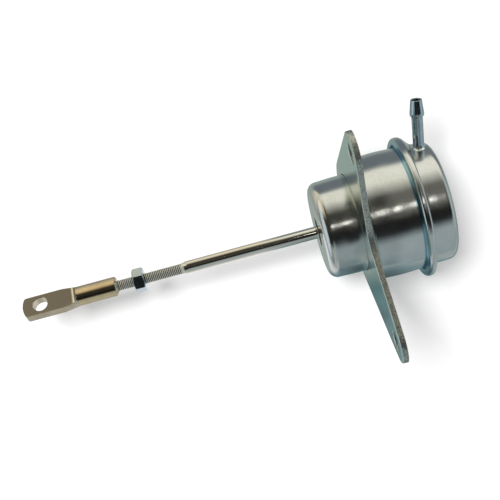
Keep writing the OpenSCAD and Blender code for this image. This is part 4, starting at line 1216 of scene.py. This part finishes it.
class ACTUATOR_OT_stage(bpy.types.Operator):
    """Set the camera, the pale floor, the studio's cards and the lamp"""
    bl_idname = "actuator.stage"
    bl_label = "Stage"
    bl_options = {"REGISTER", "UNDO"}

    def execute(self, context):
        self.camera(context.scene)
        self.world(context.scene)
        self.floor()
        self.mat()
        self.tunnel()
        self.tunnel_ends()
        self.catch_lights()
        self.lamp()
        return {"FINISHED"}

    @staticmethod
    def camera(scene):
        """The camera, at the photograph's viewing angle."""
        right, down = picture_axes()
        back = unit(TOWARDS_CAMERA)
        place = AXIS + CAMERA_DISTANCE * back + CAMERA_X * ALONG + CAMERA_DOWN * PICTURE_DOWN
        data = bpy.data.cameras.new("camera")
        data.lens = CAMERA_LENS
        data.sensor_width = CAMERA_SENSOR
        data.clip_start, data.clip_end = 0.01, 20.0
        scene.camera = put_in_scene("camera", data, right, -down, back, place)

    @staticmethod
    def world(scene):
        """A white room. It is at full strength for what the camera, metal and glass see of it."""
        r = Recipe("white_room", bpy.data.worlds)
        strength = r.remap(r.seen_directly(), 0.0, 1.0, ROOM_ON_THINGS, 1.0)
        background = r.add("ShaderNodeBackground", {"Color": (*WHITE, 1.0), "Strength": strength})
        scene.world = r.show(background, "ShaderNodeOutputWorld")
        scene.world.cycles.sampling_method = "NONE"
        scene.view_settings.view_transform = "Standard"

    @staticmethod
    def floor():
        """A white floor under the ring, which keeps the object's shadow."""
        floor = mesh_object("floor", *level_square(FLOOR_HALF, FLOOR_Z))
        r = Recipe("floor_paper")
        paper = r.add("ShaderNodeBsdfDiffuse", {"Color": (*scaled(WHITE, FLOOR_PAPER), 1.0)})
        glow = r.add("ShaderNodeEmission", {
            "Color": (*WHITE, 1.0), "Strength": r.product(r.seen_directly(), FLOOR_GLOW)})
        coat(floor, r.show(r.add("ShaderNodeAddShader", {0: paper.outputs[0], 1: glow.outputs[0]})))

    @staticmethod
    def make_card(card, r, shade, strength=1.0):
        """Gives a card a light of its own, which shows only in reflections."""
        glow = r.add("ShaderNodeEmission", {"Color": shade, "Strength": strength})
        coat(card, r.show(glow))
        r.owner.cycles.emission_sampling = "NONE"
        card.visible_camera = False
        card.visible_diffuse = False
        card.visible_shadow = False
        card.visible_transmission = False
        card.visible_volume_scatter = False

    def mat(self):
        """A glowing mat on the floor that only metal sees, which paints the floor's reflection. Beside the
        canister its colour follows y: slate above the canister in the picture, grey under it, teal below it,
        and a grey wall further off. It has a painted shadow of the bracket below the canister, it is paler
        behind the cover, and towards the rod it gives way to the white floor with the rod's own painted
        shade on it."""
        r = Recipe("floor_mat_light")
        x, y = r.station(), r.place_on_y()
        beside = r.ramp(y, [
            (-0.40, GREY_WALL), (-0.20, TEAL), (-0.056, TEAL), (-0.034, DARK_TEAL), (-0.022, FLOOR_GREY),
            (0.044, FLOOR_GREY), (0.056, SLATE), (0.150, SLATE), (0.360, WARM_WHITE)])
        beside = r.mix(self.behind_bracket(r, x, y), beside, BLACK)
        open_side = r.product(
            r.remap(y, -0.058, -0.050, 1.0, 0.0), r.remap(y, -0.22, -0.15), r.remap(x, 0.036, 0.050))
        beside = r.mix(open_side, beside, OPEN_GREY)
        by_rod = r.ramp(y, [
            (-0.40, scaled(WHITE, 0.5)), (-0.08, scaled(WHITE, 0.8)), (-0.025, WHITE), (0.002, WHITE),
            (0.010, ROD_SHADE), (0.025, ROD_SHADE),
            (0.090, scaled(CREAM, 0.9)), (0.200, scaled(CREAM, 0.95))])
        by_rod = r.mix(r.remap(x, -0.125, -0.095, 0.3, 0.0), by_rod, BLACK)
        near_rod = r.product(r.remap(x, -0.045, -0.028, 1.0, 0.0, smooth=True),
                             r.remap(x, -0.23, -0.19, smooth=True))
        card = mesh_object("floor_mat", *level_square(FLOOR_HALF, FLOOR_Z + MAT_LIFT))
        self.make_card(card, r, r.mix(near_rod, beside, by_rod))

    @staticmethod
    def behind_bracket(r, x, y, middle=0.008, reach=0.020, depth=0.72):
        """How much the bracket darkens the mat below the canister in the picture:
        depth * exp(-((x - middle) / reach) ** 2), and less of it further down."""
        apart = r.math("POWER", r.product(r.math("SUBTRACT", x, middle), 1 / reach), 2.0)
        return r.product(r.math("EXPONENT", r.product(apart, -1.0)), depth,
                         r.remap(y, -0.048, -0.040, 1.0, 0.0), r.remap(y, -0.26, -0.06, 0.6, 1.0))

    @staticmethod
    def card_row(r, at, softbox, dim, wall, low, box_end=SOFTBOX_END, shade_end=SHADE_END, corner=CORNER):
        """Colours round one row of cards: a corner of the room, the softbox, the dim side with the camera,
        the camera's own shade, the wall, and the low end of that wall by the floor."""
        return r.ramp(at, [
            (-TUNNEL_EDGE, corner), (SOFTBOX_START, softbox), (box_end, softbox),
            (box_end + SOFTBOX_FADE, dim), (DIM_END, dim), (SHADE_START, UNLIT), (shade_end, UNLIT),
            (shade_end + WALL_FADE, wall), (WALL_END, wall), (TUNNEL_EDGE, low)])

    def tunnel(self):
        """A tunnel of cards over the object, whose colour follows the angle from the camera's direction.
        Along the tunnel one row of cards gives way to the next. From the left they are the nose's, the
        rod end's, the nose's for the nut, the rod's, the nose's and the body's."""
        angle = np.radians(np.linspace(-105, 105, 85))
        up = unit(TOWARDS_CAMERA)
        ring = TUNNEL_R * (np.cos(angle)[:, None] * up + np.sin(angle)[:, None] * PICTURE_DOWN)
        ends = np.array([-TUNNEL_HALF, TUNNEL_HALF])
        grid = AXIS + ring[None] + ends[:, None, None] * ALONG
        count = len(angle)
        index = np.arange(count - 1)
        quads = np.stack([index, index + 1, index + 1 + count, index + count], axis=1)

        r = Recipe("card_tunnel_light")
        at, x = r.angle_from_camera(), r.station()
        rod_end = self.card_row(r, at, AMBER, scaled(CREAM, 0.04), OLIVE, scaled(OLIVE, 1.25), box_end=-48)
        rod = self.card_row(r, at, CREAM, scaled(CREAM, 0.06), GREY_WALL, scaled(WHITE, 0.67),
                            box_end=-74, shade_end=28, corner=scaled(CREAM, 0.93))
        nose = self.card_row(r, at, WARM_WHITE, scaled(WARM_WHITE, 0.05), scaled(GREY_WALL, 0.83),
                             scaled(TEAL, 0.65))
        body = self.card_row(r, at, WARM_WHITE, scaled(WARM_WHITE, 0.16), GREY_WALL, scaled(GREY_WALL, 0.88))
        shade = nose
        for first, last, beyond in ((-0.345, -0.325, rod_end), (-0.193, -0.185, nose), (-0.168, -0.160, rod),
                                    (-0.05, 0.02, nose), (0.06, 0.10, body)):
            shade = r.mix(r.remap(x, first, last, smooth=True), shade, beyond)
        self.make_card(mesh_object("card_tunnel", grid.reshape(-1, 3), quads), r, shade)

    def tunnel_ends(self):
        """Pale blue-grey cards that close the tunnel's two ends. The one beyond the rod is brighter."""
        for side, shine in ((-1, LEFT_END_SHINE), (1, 1.0)):
            corners = np.array([[0, -1.1, -0.3], [0, 1.1, -0.3], [0, 1.1, 1.1], [0, -1.1, 1.1]])
            spots = AXIS + side * TUNNEL_HALF * ALONG + TUNNEL_R * corners
            r = Recipe("tunnel_end_light")
            shade = r.ramp(r.place_on_y(), [(-0.7, scaled(END_BLUE, shine)), (0.7, scaled(END_GREY, shine))])
            self.make_card(mesh_object("tunnel_end", spots, np.array([[0, 1, 2, 3]])), r, shade)

    def catch_lights(self):
        """Two bright discs beside the camera, which give the pressed walls their highlights: the
        first lights the nose, the second the body and the cover."""
        a = round_angles(CATCH_SIDES)[:, None]
        index = np.arange(CATCH_SIDES)
        fan = np.stack([index, np.roll(index, -1), np.full(CATCH_SIDES, CATCH_SIDES)], axis=1)
        for name, x, half, strength in CATCH_LIGHTS:
            middle = AXIS + CATCH_DISTANCE * unit(TOWARDS_CAMERA) - CATCH_UP * PICTURE_DOWN + x * ALONG
            rim = middle + half * np.cos(a) * ALONG + CATCH_HALF * np.sin(a) * PICTURE_DOWN
            disc = mesh_object(name + "_catch_light", np.vstack([rim, middle]), np.zeros((0, 4), int), fan)
            self.make_card(disc, Recipe(name + "_catch_light_glow"), LAMP_CREAM, strength)

    @staticmethod
    def lamp():
        """The lamp that throws the soft shadow to the picture's lower right."""
        right, down = picture_axes()
        ray = unit(unit(TOWARDS_CAMERA) - LAMP_LEFT * right - LAMP_UP * down)
        data = bpy.data.lights.new("shadow_lamp", "AREA")
        data.shape = "DISK"
        data.size = LAMP_SIZE
        data.energy = LAMP_POWER
        lamp = put_in_scene("shadow_lamp", data, *cross_axes(ray), ray, AXIS + LAMP_DISTANCE * ray)
        lamp.visible_glossy = False
        lamp.visible_camera = False


STEPS = (
    ACTUATOR_OT_stage,
    ACTUATOR_OT_canister,
    ACTUATOR_OT_cover,
    ACTUATOR_OT_bracket,
    ACTUATOR_OT_nipple,
    ACTUATOR_OT_rod,
    ACTUATOR_OT_nut,
    ACTUATOR_OT_rod_end,
    ACTUATOR_OT_inner_parts,
)


class ACTUATOR_PT_panel(bpy.types.Panel):
    """Lists the actuator's operators in the sidebar"""
    bl_label = "Wastegate actuator"
    bl_idname = "ACTUATOR_PT_panel"
    bl_space_type = "VIEW_3D"
    bl_region_type = "UI"
    bl_category = "Actuator"

    def draw(self, context):
        """Draws one button for each step, then the sizes and colours."""
        for step in STEPS:
            self.layout.operator(step.bl_idname)
        for group in (context.scene.actuator_sizes, context.scene.actuator_finish):
            box = self.layout.box()
            for name in group.__annotations__:
                box.prop(group, name)


CLASSES = (ActuatorSizes, ActuatorFinish, *STEPS, ACTUATOR_PT_panel)


def register():
    """Registers the classes and hangs the settings on the scene."""
    for each in CLASSES:
        bpy.utils.register_class(each)
    bpy.types.Scene.actuator_sizes = PointerProperty(type=ActuatorSizes)
    bpy.types.Scene.actuator_finish = PointerProperty(type=ActuatorFinish)


def unregister():
    """Takes the settings and the classes away again."""
    del bpy.types.Scene.actuator_sizes
    del bpy.types.Scene.actuator_finish
    for each in reversed(CLASSES):
        bpy.utils.unregister_class(each)


def main():
    """Builds everything."""
    register()
    for step in STEPS:
        group, name = step.bl_idname.split(".")
        getattr(getattr(bpy.ops, group), name)()
    bpy.context.view_layer.update()


if __name__ == "__main__":
    main()
